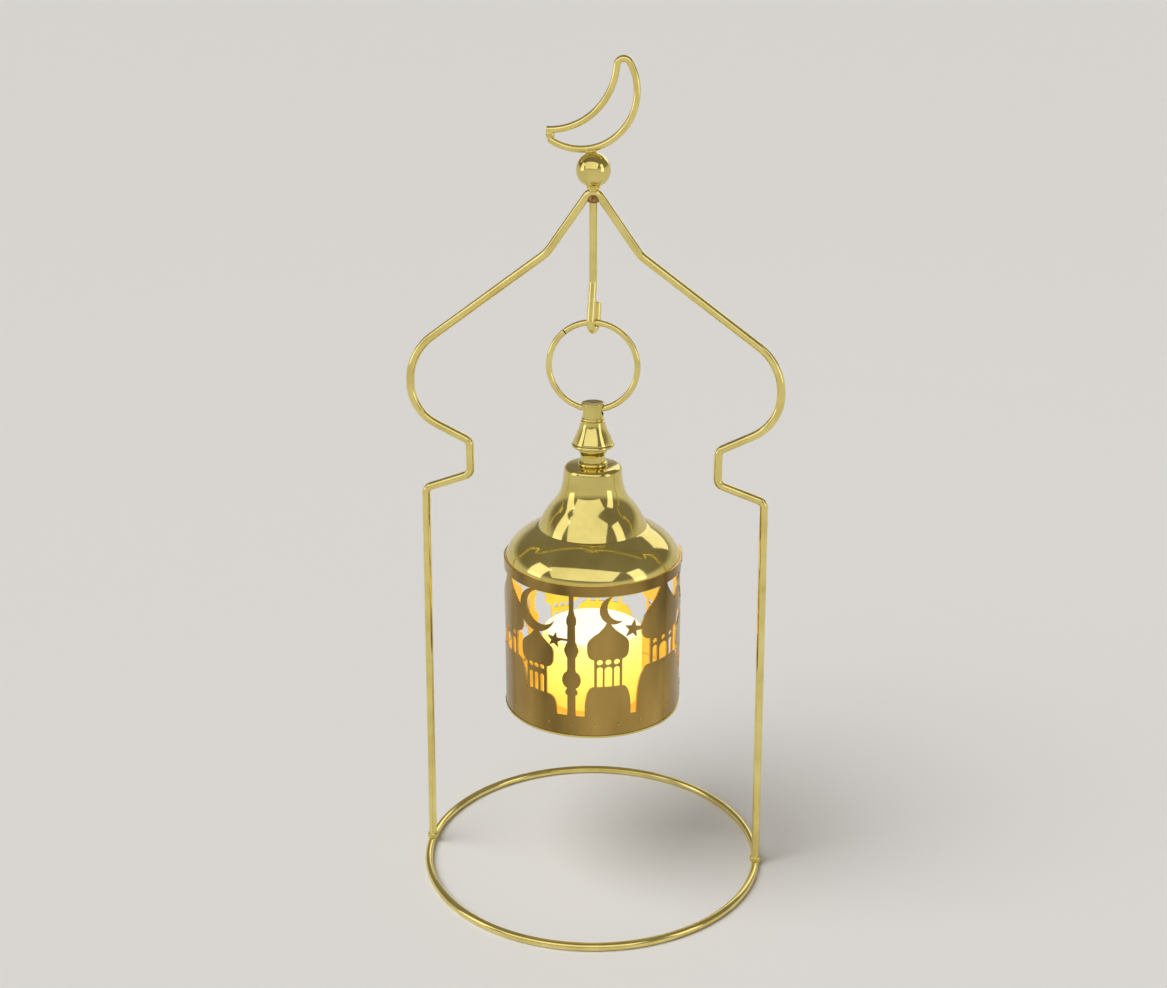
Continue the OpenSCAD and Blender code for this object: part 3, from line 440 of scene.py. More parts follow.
plasticLook = {"flow": 220, "grain": 2600, "bump": 0.12, "depth": 0.03 * mm}
whiteLook = {**plasticLook, "gloss": (0.36, 0.50),
             "tones": [(0.3, (0.80, 0.78, 0.73)), (0.7, (0.86, 0.85, 0.81))]}
blackLook = {**plasticLook, "gloss": (0.34, 0.48),
             "tones": [(0.3, (0.02, 0.02, 0.02)), (0.7, (0.035, 0.035, 0.035))]}


def mouldedPlastic(name, look):
    material, tree, shader = nodeTree(name)
    flow = noise(tree, look["flow"], 3)
    grain = noise(tree, look["grain"], 4, 0.6)
    coat(tree, shader, look, flow, grain, grain)
    return material


steelLook = {"brush": 1400, "along": (0.1, 1, 1), "gloss": (0.22, 0.38), "bump": 0.1, "depth": 0.02 * mm,
             "tones": [(0.3, (0.42, 0.42, 0.41)), (0.7, (0.68, 0.67, 0.64))]}


def nickelSteel():
    material, tree, shader = nodeTree("nickelSteel")
    shader.inputs["Metallic"].default_value = 1.0
    brush = noise(tree, steelLook["brush"], 4, 0.6, steelLook["along"])
    coat(tree, shader, steelLook, brush, brush, brush)
    return material


boardLook = {"cells": 420, "haze": 900, "gloss": (0.28, 0.4), "bump": 0.2, "depth": 0.05 * mm,
             "tones": [(0.25, (0.05, 0.22, 0.10)), (0.5, (0.02, 0.11, 0.05))]}


def boardFinish():
    material, tree, shader = nodeTree("solderMask")
    cells = tree.nodes.new("ShaderNodeTexVoronoi")
    cells.distance = "MANHATTAN"
    cells.inputs["Scale"].default_value = boardLook["cells"]
    tree.links.new(mapped(tree), cells.inputs["Vector"])
    tracks = cells.outputs["Distance"]
    haze = noise(tree, boardLook["haze"])
    coat(tree, shader, boardLook, tracks, haze, tracks)
    return material


lensLook = {"gloss": 0.12, "power": 3.0, "haze": 900,
            "glow": [(0.3, (1.0, 0.86, 0.55)), (0.7, (1.0, 0.95, 0.80))],
            "body": [(0.3, (0.95, 0.88, 0.70)), (0.7, (1.0, 0.97, 0.88))]}


def lensFinish():
    material, tree, shader = nodeTree("litLens")
    lightUp(tree, shader, lensLook, noise(tree, lensLook["haze"], 3))
    return material


braze = brazeFinish()
whitePlastic = mouldedPlastic("whitePlastic", whiteLook)
blackPlastic = mouldedPlastic("blackPlastic", blackLook)
steel = nickelSteel()
solderMask = boardFinish()
litLens = lensFinish()
print("finishes mixed")


# stand: base ring, arch, finial and hook

stand = {"wire": 3.0, "ringSides": 32, "ringStep": 2, "foot": (64.4, 2.88), "shoulder": (62.3, 150.3),
         "neckLow": (45.4, 156.4), "neckTop": (45.4, 169.1), "tightBend": 3.0, "flareAngle": 26.3,
         "bulgeX": 66.8, "bulgeZ": 190.5, "bulgeRun": 1.0, "roofAngle": 36.5, "roofBend": (16.4, 238.8),
         "roofBendRadius": 14.0, "peak": 262.1, "peakBend": 2.8}


def upright(x, z):
    return Vector((x * mm, 0, z * mm))


def makeBaseRing():
    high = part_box("base_ring")[1]
    radius = stand["wire"] / 2 * mm
    centre = Vector((high.x - radius, 0, high.z - radius))
    # the ring closes on itself, so the circle has no face that would stay inside the wire
    ring = startWire("baseRing", centre, Vector((0, 1, 0)), radius, stand["ringSides"], "NOTHING")
    bendWire((0, 0, 0), (0, 0, 1), 2 * math.pi, stand["ringStep"])
    bpy.ops.mesh.select_mode(type="VERT")
    weldAndTurnOut()
    # the ring stands on a ground flat
    openForEdit(ring)
    bpy.ops.mesh.select_all(action="DESELECT")
    setMode("OBJECT")
    for vertex in ring.data.vertices:
        vertex.select = vertex.co.z < 0
    setMode("EDIT")
    bpy.ops.transform.resize(value=(1, 1, 0), center_override=(0, 0, 0))
    setMode("OBJECT")
    dress(ring, "stand", wireGold, ["base_ring"])


def makeArch():
    bulgeX, bulgeZ, halfRun = stand["bulgeX"], stand["bulgeZ"], stand["bulgeRun"] / 2
    flareAngle, roofAngle = math.radians(stand["flareAngle"]), math.radians(stand["roofAngle"])
    flareZ = stand["neckTop"][1] + (bulgeX - stand["neckTop"][0]) * math.tan(flareAngle)
    eaveZ = stand["roofBend"][1] - (bulgeX - stand["roofBend"][0]) * math.tan(roofAngle)
    flareRadius = (bulgeZ - halfRun - flareZ) * math.tan((math.pi / 2 + flareAngle) / 2)
    eaveRadius = (eaveZ - bulgeZ - halfRun) * math.tan((math.pi / 2 + roofAngle) / 2)
    tight = stand["tightBend"]
    half = [(stand["foot"], 0), (stand["shoulder"], tight), (stand["neckLow"], tight),
            (stand["neckTop"], tight), ((bulgeX, flareZ), flareRadius), ((bulgeX, eaveZ), eaveRadius),
            (stand["roofBend"], stand["roofBendRadius"])]
    peak = [((0, stand["peak"]), stand["peakBend"])]
    whole = half + peak + [((-x, z), r) for (x, z), r in reversed(half)]
    corners = [upright(x, z) for (x, z), r in whole]
    arch = bentWire("archFrame", corners, [r * mm for point, r in whole], stand["wire"] / 2 * mm)
    dress(arch, "stand", wireGold, ["arch_frame"])


# half sizes of the lumps of filler, and how far they sit from the seams they fill
brazing = {"roughness": 0.35, "grain": 1.1, "foot": (2.15, 2.15, 1.9), "footDrop": 0.1,
           "apex": (2.1, 2.1, 1.75), "apexRise": 0.38, "saddle": (2.0, 1.7, 1.0), "saddleRise": 0.3,
           "horn": (1.5, 1.35, 1.9), "hornShift": 0.72}


def brazeLump(name, centre, size, stands, finish, tilt=0.0):
    # a drop of filler that has run into the corner between two pieces
    clearSelection()
    bpy.ops.mesh.primitive_ico_sphere_add(subdivisions=5, radius=1, location=centre)
    lump = bpy.context.object
    lump.scale = Vector(size) * mm
    lump.rotation_euler = (0, tilt, 0)
    newPiece(name)
    setMode("OBJECT")
    cloud = bpy.data.textures.new(name, "CLOUDS")
    cloud.noise_scale = brazing["grain"] * mm
    applyModifier(lump, "DISPLACE", texture=cloud, strength=brazing["roughness"] * mm, mid_level=0.5,
                  texture_coords="LOCAL")
    dress(lump, "stand", finish, stands, smooth=180)


finial = {"ballFlat": 9, "ballArc": 40, "crescentWire": 2.4, "outer": 19.2, "lean": 9.7, "inner": 23.0,
          "innerShift": (-10.7, 10.2), "hornBend": 2.4, "outerEnd": -124.0, "innerEnd": -92.0, "seat": 0.03}
# shares of the collar's own width and height: its waist, then the rim under the ball
collar = {"foot": 0.86, "waist": [(0.9, 0.2), (0.74, 0.4), (0.74, 0.5), (0.9, 0.62)],
          "rim": [(0.97, 0.66), (1.02, 0.76), (1.0, 0.9), (0.9, 1.0)]}


def ballPlace():
    low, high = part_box("finial_ball")
    return (high.z - low.z) / 2 / mm, (high.z + low.z) / 2 / mm


def makeBall():
    # closed at both poles by a small flat, as a drilled and plugged bead has
    radius, z = ballPlace()
    flat, count = finial["ballFlat"], finial["ballArc"]
    pole = radius * math.cos(math.radians(flat))
    arc = [math.radians(-90 + flat + i * (180 - 2 * flat) / count) for i in range(count + 1)]
    outline = [(0, -pole)] + [(radius * math.cos(a), radius * math.sin(a)) for a in arc] + [(0, pole)]
    ball = turnOnLathe("finialBall", outline, z * mm, steps=72)
    dress(ball, "stand", turnedGold, ["finial_ball"], smooth=60)


def makeCollar():
    low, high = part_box("finial_collar")
    wide, tall = high.x / mm, (high.z - low.z) / mm
    outline = [(0, 0), (wide * collar["foot"], 0)]
    for curve in (collar["waist"], collar["rim"]):
        outline += bow(*[(wide * x, tall * z) for x, z in curve], 6)
    outline += [(0, tall)]
    piece = turnOnLathe("finialCollar", outline, low.z, steps=56)
    dress(piece, "stand", turnedGold, ["finial_collar"])


def crossing(firstCentre, firstRadius, secondCentre, secondRadius):
    # where two circles meet, on the right of the line between their centres
    gap = secondCentre - firstCentre
    along = gap.normalized()
    reach = (gap.length ** 2 + firstRadius ** 2 - secondRadius ** 2) / (2 * gap.length)
    aside = math.sqrt(firstRadius ** 2 - reach ** 2)
    return firstCentre + along * reach + Vector((along.y, -along.x)) * aside


def angleOf(way):
    return math.atan2(way.y, way.x)


def onCircle(centre, radius, angle):
    return centre + Vector((math.cos(angle), math.sin(angle))) * radius


def makeCrescent():
    # one wire round both curves, from the lower horn over the upper one and back
    ballRadius, ballZ = ballPlace()
    wire, outer, inner, bend = finial["crescentWire"], finial["outer"], finial["inner"], finial["hornBend"]
    lean = math.radians(finial["lean"])
    up = Vector((-math.sin(lean), math.cos(lean)))
    ballCentre = Vector((0, ballZ))
    outerCentre = up * (ballRadius + finial["seat"] + wire / 2 + outer) + ballCentre
    innerCentre = outerCentre + Vector(finial["innerShift"])
    hornCentre = crossing(outerCentre, outer - bend, innerCentre, inner + bend)
    hornStart = angleOf(hornCentre - outerCentre)
    hornEnd = angleOf(innerCentre - hornCentre)
    outerEnd = math.radians(finial["outerEnd"])
    innerEnd = math.radians(finial["innerEnd"])
    innerStart = angleOf(hornCentre - innerCentre)
    start = onCircle(outerCentre, outer, outerEnd)
    heading = Vector((-math.sin(outerEnd), 0, math.cos(outerEnd)))
    piece = startWire("crescentWire", upright(*start), heading, wire / 2 * mm)
    turn = (0, -1, 0)
    bendWire(upright(*outerCentre), turn, hornStart - outerEnd, 4)
    bendWire(upright(*hornCentre), turn, hornEnd - hornStart, 8)
    bendWire(upright(*innerCentre), turn, innerEnd - innerStart, 4)
    cutEnds(wire / 2 * mm)
    weldAndTurnOut()
    dress(piece, "stand", wireGold, ["crescent"])
    # filler under the crescent and between its two cut ends
    seat = up * (ballRadius + brazing["saddleRise"]) + ballCentre
    brazeLump("crescentBraze", upright(*seat), brazing["saddle"], ["crescent_weld"], lumpGold, -lean)
    tail = onCircle(innerCentre, inner, innerEnd)
    between = (start + tail) / 2 + Vector((brazing["hornShift"], 0))
    brazeLump("hornBraze", upright(*between), brazing["horn"], [], lumpGold)


hook = {"wire": 2.8, "kink": 17.2, "half": 3.5, "bend": 3.2, "tipUp": 9.0, "tipOut": 1.4, "turn": 12.0}


def makeHook():
    low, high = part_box("hanger_hook")
    turn = math.radians(hook["turn"])
    across = Vector((math.sin(turn), math.cos(turn), 0))
    radius = hook["wire"] / 2
    bight = low.z / mm + radius
    path = [(0, high.z / mm), (0, bight + hook["kink"]), (-hook["half"], bight), (hook["half"], bight),
            (hook["half"] + hook["tipOut"], bight + hook["tipUp"])]
    corners = [across * x * mm + Vector((0, 0, z * mm)) for x, z in path]
    bends = [0, 2 * hook["bend"] * mm, hook["bend"] * mm, hook["bend"] * mm, 0]
    piece = bentWire("hangerHook", corners, bends, radius * mm)
    dress(piece, "stand", wireGold, ["hanger_hook"])
    apex = upright(0, high.z / mm + brazing["apexRise"])
    brazeLump("apexBraze", apex, brazing["apex"], ["apex_weld"], braze)


def makeFeet():
    x, z = stand["foot"]
    for name, side, stands in (("footBrazeRight", 1, ["foot_welds"]), ("footBrazeLeft", -1, [])):
        brazeLump(name, upright(side * x, z - brazing["footDrop"]), brazing["foot"], stands, lumpGold)


# hanging ring, split at the upper left

ringLook = {"wire": 2.2, "split": 0.5, "splitAt": 129.0}


def makeHangingRing():
    low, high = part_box("hanging_ring")
    wire = ringLook["wire"] / 2 * mm
    radius = (high.z - low.z) / 2 - wire
    centre = Vector((0, 0, (high.z + low.z) / 2))
    gap = ringLook["split"] * mm / radius
    start = math.radians(ringLook["splitAt"]) + gap / 2
    at = centre + Vector((math.cos(start), 0, math.sin(start))) * radius
    ring = startWire("hangingRing", at, Vector((-math.sin(start), 0, math.cos(start))), wire)
    bendWire(centre, (0, -1, 0), 2 * math.pi - gap, 3)
    weldAndTurnOut()
    dress(ring, "ring", wireGold, ["hanging_ring"])
    # no plating on the two cut ends; their near-black tone is also painted shade, so the split reads as a
    # dark line
    ring.data.materials.append(bareCutAndShade)
    for face in ring.data.polygons:
        if isWireEnd(face):
            face.material_index = 1


# lantern: knob, washer and cap on the lathe

knob = {"head": 8.2, "skirt": 15.6, "neck": 9.1, "skirtAt": 6.6, "beadDrop": 6.2, "neckTall": 2.0,
        "footEdge": 0.2, "cove": 1.1, "lip": 0.5, "groove": 0.25, "edge": 0.3, "dish": 0.5, "hole": 4.0,
        "holeDrop": 2.8}


def makeKnob():
    low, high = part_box("finial_knob")
    tall = (high.z - low.z) / mm
    headR, skirtR, neckR = knob["head"] / 2, knob["skirt"] / 2, knob["neck"] / 2
    lip, groove, edge, foot = knob["lip"], knob["groove"], knob["edge"], knob["footEdge"]
    stemR = headR - groove
    coveR = neckR + knob["cove"]
    beadR = headR + groove
    neckZ = knob["neckTall"]
    skirtZ = knob["skirtAt"]
    beadZ = tall - knob["beadDrop"]
    # neck, lip, bell-shaped skirt, bead and head, with the handles of the curves in lips, grooves and edges
    outline = [(0, 0), (neckR - foot, 0), (neckR, foot)]
    outline += bow((neckR, neckZ), (neckR, 1.7 * neckZ), (coveR, 2 * neckZ), (coveR, skirtZ - 3 * lip), 8)
    outline += bow((skirtR - lip, skirtZ - 2 * lip), (skirtR + lip / 2, skirtZ - 1.6 * lip),
                   (skirtR + lip / 2, skirtZ), (skirtR - lip, skirtZ + lip), 10)
    outline += bow((skirtR - lip * 1.05, skirtZ + 1.4 * lip), (skirtR - 3 * lip, skirtZ + 7 * lip),
                   (headR + lip, skirtZ + 12 * lip), (beadR, beadZ - 2 * groove), 16)
    outline += bow((stemR, beadZ - groove), (beadR, beadZ - groove), (beadR, beadZ + 2 * groove),
                   (stemR, beadZ + 3 * groove), 8)
    outline += [(stemR, tall - 3 * edge), (headR, tall - 2.5 * edge), (headR, tall - edge)]
    outline += bow((headR - edge * 0.1, tall - edge * 0.5), (headR - edge * 0.3, tall), (headR - edge, tall),
                   (headR - 2 * edge, tall), 4)
    outline += [(headR - 3 * edge, tall), (0, tall - knob["dish"])]
    body = turnOnLathe("finialKnob", outline, low.z, steps=96)
    # cross hole for the ring
    clearSelection()
    bpy.ops.mesh.primitive_cylinder_add(vertices=40, radius=knob["hole"] / 2 * mm, depth=4 * headR * mm,
                                        location=(0, 0, high.z - knob["holeDrop"] * mm),
                                        rotation=(0, math.pi / 2, 0))
    cutWith(body, bpy.context.object)
    cleanCut(body)
    dress(body, "lantern", turnedGold, ["finial_knob"], smooth=32)


washer = {"bore": 1.7, "foot": 0.4, "rise": 0.25, "bulge": 0.1, "belly": 0.4, "shoulder": 0.35, "top": 0.6}


def makeWasher():
    low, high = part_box("knob_washer")
    wide, tall, bore = high.x / mm, (high.z - low.z) / mm, washer["bore"]
    outline = [(bore, 0), (wide - washer["foot"], 0)]
    outline += bow((wide - washer["bulge"], washer["rise"]), (wide + washer["bulge"], tall * washer["belly"]),
                   (wide, tall - washer["shoulder"]), (wide - washer["top"], tall), 10)
    outline += [(bore, tall), (bore, 0)]
    piece = turnOnLathe("knobWasher", outline, low.z, steps=96)
    dress(piece, "lantern", turnedGold, ["knob_washer"])


cap = {"sheet": 0.6, "flat": 9.6, "bellTop": 10.7, "crease": (20.0, 11.3), "edge": 2.2,
       "straight": (0.9, 8.1), "flare": (4.2, 10.8), "step": (0.7, 0.15), "shoulder": (6.5, 3.0),
       "fall": (0.25, 6.9), "bore": 1.7}


def inset(line, depth):
    # the same line moved to its right-hand side by the sheet's thickness
    moved = []
    for i, point in enumerate(line):
        before = Vector(line[max(i - 1, 0)])
        after = Vector(line[min(i + 1, len(line) - 1)])
        along = (after - before).normalized()
        moved.append((point[0] + depth * along.y, point[1] - depth * along.x))
    return moved


def makeCap():
    low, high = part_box("cap")
    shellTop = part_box("shell")[1].z
    tall = (high.z - shellTop) / mm
    skirt = (shellTop - low.z) / mm
    wide = high.x / mm
    edge = cap["edge"]
    top = cap["bellTop"]
    creaseR, creaseZ = cap["crease"]
    # flat top, rounded edge, bell, crease, dome and the skirt inside the shell
    line = [(cap["bore"], tall), (cap["flat"] - edge / 4, tall)]
    line += bow((cap["flat"], tall - edge / 20), (top - edge / 7, tall - edge / 4), (top, tall - edge / 2),
                (top, tall - edge), 8)
    line += bow((top, tall - 1.5 * edge), (top + cap["straight"][0], creaseZ + cap["straight"][1]),
                (creaseR - cap["flare"][0], creaseZ + cap["flare"][1]), (creaseR, creaseZ), 28)
    line += bow((creaseR + cap["step"][0], creaseZ - cap["step"][1]),
                (creaseR + cap["shoulder"][0], creaseZ - cap["shoulder"][1]),
                (wide - cap["fall"][0], creaseZ - cap["fall"][1]), (wide, -edge / 2), 30)
    line += [(wide, -skirt)]
    outline = closed(line + list(reversed(inset(line, cap["sheet"]))))
    piece = turnOnLathe("spunCap", outline, shellTop, steps=192)
    dress(piece, "lantern", spunGold, ["cap"], smooth=28)


# shell: a rolled sheet, pierced all round with towers, minarets, crescents and stars

shell = {"radius": 32.9, "sheet": 0.5, "lowBand": 7.7, "topBand": 3.9, "turn": -95.9, "repeats": 3,
         "seamArc": 17.0, "seamLift": 1.0, "looseSheet": 0.3, "looseEase": 0.1, "looseSteps": 24,
         "looseReach": (2.0, 3.0), "looseStrips": 120, "stakes": 24, "stakeZ": 4.1, "stakeRadius": 0.6,
         "stakeDepth": 0.27, "strips": 240, "overrun": 1.0, "punchDepth": 0.2, "punchStart": 1.05,
         "facing": 0.7}
towers = {
    "tall": {"at": 64.9, "drum": 6.9, "dome": 12.4, "drumZ": 25.4, "onionZ": 35.4, "onion": 10.6,
             "wideZ": 40.6, "tipZ": None, "tip": 1.6, "windows": (2.3, 4.6, 2.3), "windowTall": 6.6,
             "pitch": 4.6, "dot": 2.0, "dotZ": 33.7},
    "middle": {"at": 23.4, "drum": 5.1, "dome": 8.45, "drumZ": 19.4, "onionZ": 30.0, "onion": 7.6,
               "wideZ": 35.0, "tipZ": 44.2, "tip": 0.7, "windows": (2.1, 2.8, 2.1), "windowTall": 7.9,
               "pitch": 3.1, "dot": 2.2, "dotZ": 29.0, "moon": ((2.1, 48.9), 5.3, (5.1, 50.0), 5.55)},
    "low": {"at": -24.7, "drum": 4.5, "dome": 8.5, "drumZ": 15.1, "onionZ": 25.6, "onion": 7.2,
            "wideZ": 31.1, "tipZ": 39.2, "tip": 0.9, "windows": (1.6, 1.6, 1.6), "windowTall": 7.1,
            "pitch": 2.5, "dot": 1.9, "dotZ": 24.9, "moon": ((-0.1, 46.6), 8.1, (2.3, 48.1), 6.6)},
}
# shares of a tower's rise, swell and point that shape its dome and its onion
towerCurve = {"domeFoot": 0.15, "domeShoulder": 0.35, "domeTop": 0.7, "sill": 0.4, "lip": 0.2,
              "swellLow": 0.1, "swellHigh": 0.5, "pointFoot": 0.05, "pointFull": 0.42, "pointThin": 0.3,
              "pointTurn": 0.55}
stars = {"low": {"at": -11.1, "z": 36.7, "radius": 3.1, "turn": -9.0, "bar": 6.4, "barZ": 37.3},
         "middle": {"at": 39.6, "z": 40.8, "radius": 3.6, "turn": -12.0, "bar": 5.0, "barZ": 40.3}}
starWaist, starBar = 0.42, 0.7
# half widths and heights up the minaret: straights, and curves with the number of their steps
minaret = {"foot": 1.75, "shaft": 1.5, "plinth": 1.5, "tip": 0.85, "sections": [
    (None, [(1.5, 15.6)]),
    (8, [(1.6, 15.8), (2.5, 16), (2.5, 17.6), (1.6, 18.2)]),
    (14, [(1.7, 18.6), (4, 19.6), (4, 23.8), (1.7, 25)]),
    (None, [(1.5, 26), (1.5, 30.4), (2.2, 31.6)]),
    (8, [(2.2, 32.2), (2.8, 32.4), (2.8, 34.4), (2.2, 34.6)]),
    (None, [(2.2, 35.2), (1.5, 36.6), (1.4, 42.4)]),
    (8, [(1.4, 43), (2, 43.4), (2, 46), (1.2, 47)]),
    (None, [(0.85, 49)]),
]}


def towerOutline(look, bandZ):
    tipZ = look["tipZ"] or bandZ + shell["overrun"]
    low = shell["lowBand"]
    drumZ, onionZ, wideZ = look["drumZ"], look["onionZ"], look["wideZ"]
    drum, dome, wide = look["drum"], look["dome"], look["onion"]
    rise, swell, point = drumZ - low, wideZ - onionZ, tipZ - wideZ
    curve = towerCurve
    half = [(dome, low - shell["overrun"])]
    half += bow((dome, low + rise * curve["domeFoot"]), (dome, drumZ - rise * curve["domeShoulder"]),
                (drum + (dome - drum) * curve["domeTop"], drumZ), (drum, drumZ), 14)
    half += [(drum, onionZ - curve["sill"])]
    half += bow((drum + curve["lip"], onionZ), (wide, onionZ + swell * curve["swellLow"]),
                (wide, onionZ + swell * curve["swellHigh"]), (wide, wideZ), 10)
    half += bow((wide, wideZ + point * curve["pointFoot"]), (wide, wideZ + point * curve["pointFull"]),
                (wide * curve["pointThin"], wideZ + point * curve["pointTurn"]), (look["tip"], tipZ), 16)
    return mirrored(half)


def minaretOutline(bandZ):
    low, over = shell["lowBand"], shell["overrun"]
    half = [(minaret["foot"], low - over), (minaret["shaft"], low + minaret["plinth"])]
    for count, points in minaret["sections"]:
        half += bow(*points, count) if count else points
    half += [(minaret["tip"], bandZ + over)]
    return mirrored(half)


def discOutline(centre, radius, count):
    return [(centre[0] + radius * math.cos(2 * math.pi * i / count),
             centre[1] + radius * math.sin(2 * math.pi * i / count)) for i in range(count)]


def moonOutline(outer, outerRadius, inner, innerRadius):
    # the two arcs between the points where the circles cross
    outer, inner = Vector(outer), Vector(inner)
    way = inner - outer
    right = crossing(outer, outerRadius, inner, innerRadius)
    left = 2 * (outer + way * ((right - outer).dot(way) / way.length_squared)) - right

    def arc(centre, radius, count):
        first = angleOf(right - centre)
        last = angleOf(left - centre)
        middle = angleOf(-way)
        while first < middle:
            first += 2 * math.pi
        while last > middle:
            last -= 2 * math.pi
        step = (last - first) / count
        return [tuple(onCircle(centre, radius, first + step * i)) for i in range(count + 1)]

    return arc(outer, outerRadius, 40) + list(reversed(arc(inner, innerRadius, 40)))[1:-1]


def starOutline(look):
    turn = math.radians(90 + look["turn"])
    points = []
    for k in range(10):
        reach = look["radius"] * (1 if k % 2 == 0 else starWaist)
        angle = turn + k * math.pi / 5
        points.append((reach * math.cos(angle), look["z"] + reach * math.sin(angle)))
    return points


def windowOutline(x, look, width):
    foot, half = look["drumZ"], width / 2
    top = foot + look["windowTall"] - half
    arch = []
    for i in range(11):
        angle = math.pi * i / 10
        arch.append((x + half * math.cos(angle), top + half * math.sin(angle)))
    return [(x - half, foot), (x + half, foot)] + arch


def punch(name, outline, turnDegrees, foot):
    # a flat outline pushed through the wall from outside, then copied for each repeat
    depth = shell["radius"] * shell["punchDepth"] * mm
    near = -shell["radius"] * shell["punchStart"] * mm
    piece = drawLine(name, [(x * mm, near, foot + z * mm) for x, z in outline])
    bpy.ops.mesh.edge_face_add()
    push((0, depth, 0))
    weldAndTurnOut()
    copies = [piece]
    for k in range(1, shell["repeats"]):
        copy = piece.copy()
        copy.data = piece.data.copy()
        bpy.context.scene.collection.objects.link(copy)
        copies.append(copy)
    for k, copy in enumerate(copies):
        choose(copy)
        turn = 90 + shell["turn"] + turnDegrees + k * 360 / shell["repeats"]
        copy.rotation_euler = (0, 0, math.radians(turn))
        settle()
    return copies


def joined(name, pieces):
    clearSelection()
    for piece in pieces:
        piece.select_set(True)
    bpy.context.view_layer.objects.active = pieces[0]
    bpy.ops.object.join()
    whole = bpy.context.object
    whole.name = name
    return whole


def makeShell():
    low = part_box("shell")[0].z
    tall = (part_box("shell")[1].z - low) / mm
    radius, sheet, over = shell["radius"], shell["sheet"], shell["overrun"]
    bandZ = tall - shell["topBand"]
    kept = []
    holes = []
    for name, look in towers.items():
        kept += punch(name + "Tower", towerOutline(look, bandZ), look["at"], low)
        if "moon" in look:
            kept += punch(name + "Moon", moonOutline(*look["moon"]), look["at"], low)
        for k in (-1, 0, 1):
            x = k * look["pitch"]
            holes += punch("window", windowOutline(x, look, look["windows"][k + 1]), look["at"], low)
            holes += punch("dot", discOutline((x, look["dotZ"]), look["dot"] / 2, 20), look["at"], low)
    for name, look in stars.items():
        kept += punch(name + "Star", starOutline(look), look["at"], low)
        bar = boxOutline(0, look["bar"], look["barZ"] - starBar / 2, look["barZ"] + starBar / 2)
        kept += punch(name + "Bar", bar, look["at"], low)
    kept += punch("minaret", minaretOutline(bandZ), 0, low)
    for foot, top in ((-over, shell["lowBand"]), (bandZ, tall + over)):
        band = closed(boxOutline(radius - sheet - over, radius + over, foot, top))
        kept.append(turnOnLathe("band", band, low, shell["strips"]))
    keep = joined("keep", kept)
    windows = joined("windows", holes)
    wall = closed(boxOutline(radius - sheet, radius, 0, tall))
    piece = turnOnLathe("piercedShell", wall, low, shell["strips"])
    cutWith(piece, keep, "INTERSECT", use_self=True)
    cutWith(piece, windows)
    pressStakes(piece, low)
    cleanCut(piece)
    dress(piece, "lantern", sheetGoldPaintedReflections, ["shell"], smooth=30)
    paintEdgeHighlightAndGlow(piece)
    makeLooseEnd(low, tall, bandZ)


def pressStakes(piece, low):
    # marks along the foot, where the sheet grips the tray
    marks = []
    reach = (shell["radius"] + shell["stakeRadius"] - shell["stakeDepth"]) * mm
    for k in range(shell["stakes"]):
        angle = math.radians(shell["turn"] + k * 360 / shell["stakes"])
        clearSelection()
        bpy.ops.mesh.primitive_ico_sphere_add(subdivisions=3, radius=shell["stakeRadius"] * mm,
                                              location=(reach * math.cos(angle), reach * math.sin(angle),
                                                        low + shell["stakeZ"] * mm))
        marks.append(bpy.context.object)
    stakes = joined("stakes", marks)
    settle()
    cutWith(piece, stakes)


def paintEdgeHighlightAndGlow(piece):
    # the sheet's cut edges get a painted highlight, a brighter gold than its outside, and the inner side,
    # which faces the candle, gets a painted glow
    piece.data.materials.append(edgeHighlightGold)
    piece.data.materials.append(innerPaintedGlowGold)
    for face in piece.data.polygons:
        out = Vector((face.center.x, face.center.y, 0)).normalized()
        facing = face.normal.dot(out)
        if facing < -shell["facing"]:
            face.material_index = 2
        elif facing < shell["facing"]:
            face.material_index = 1


def makeLooseEnd(low, tall, bandZ):
    # the sheet's outer end at the seam stands off the drum
    radius, ease, over = shell["radius"], shell["looseEase"], shell["overrun"]
    arc = math.radians(shell["seamArc"])
    wall = closed(boxOutline(radius, radius + shell["looseSheet"], ease, tall - ease))
    piece = drawLine("shellLooseEnd", [(r * mm, 0, low + z * mm) for r, z in wall])
    bpy.ops.mesh.remove_doubles(threshold=bench["weld"])
    bpy.ops.mesh.edge_face_add()
    bpy.ops.mesh.spin(steps=shell["looseSteps"], angle=-arc, center=(0, 0, 0), axis=(0, 0, 1))
    weldAndTurnOut()
    seam = math.radians(shell["turn"] + 360 / shell["repeats"])
    openForEdit(piece)
    swing = math.atan(shell["seamLift"] / (radius * arc))
    bpy.ops.transform.rotate(value=swing, orient_axis="Z", center_override=(radius * mm, 0, 0))
    bpy.ops.transform.rotate(value=-(seam - arc), orient_axis="Z", center_override=(0, 0, 0))
    setMode("OBJECT")
    kept = punch("seamMinaret", minaretOutline(bandZ), 360 / shell["repeats"], low)
    inward, outward = shell["looseReach"]
    for foot, top in ((-over, shell["lowBand"] - ease), (bandZ + ease, tall + over)):
        band = closed(boxOutline(radius - inward, radius + outward, foot, top))
        kept.append(turnOnLathe("band", band, low, shell["looseStrips"]))
    cutWith(piece, joined("keep", kept), "INTERSECT", use_self=True)
    dress(piece, "lantern", sheetGoldPaintedReflections, [], smooth=30)
    paintEdgeHighlightAndGlow(piece)


# base tray and the lit candle

tray = {"sheet": 0.6, "hole": 16.0, "wall": 32.05, "rim": 33.15, "rimTop": -0.1, "floor": -0.3,
        "wallTop": 6.2, "collar": 18.86, "collarTall": 3.0, "edge": 0.2, "paintedGlowAcross": 0.75, "paintedGlowAbove": 0.25}


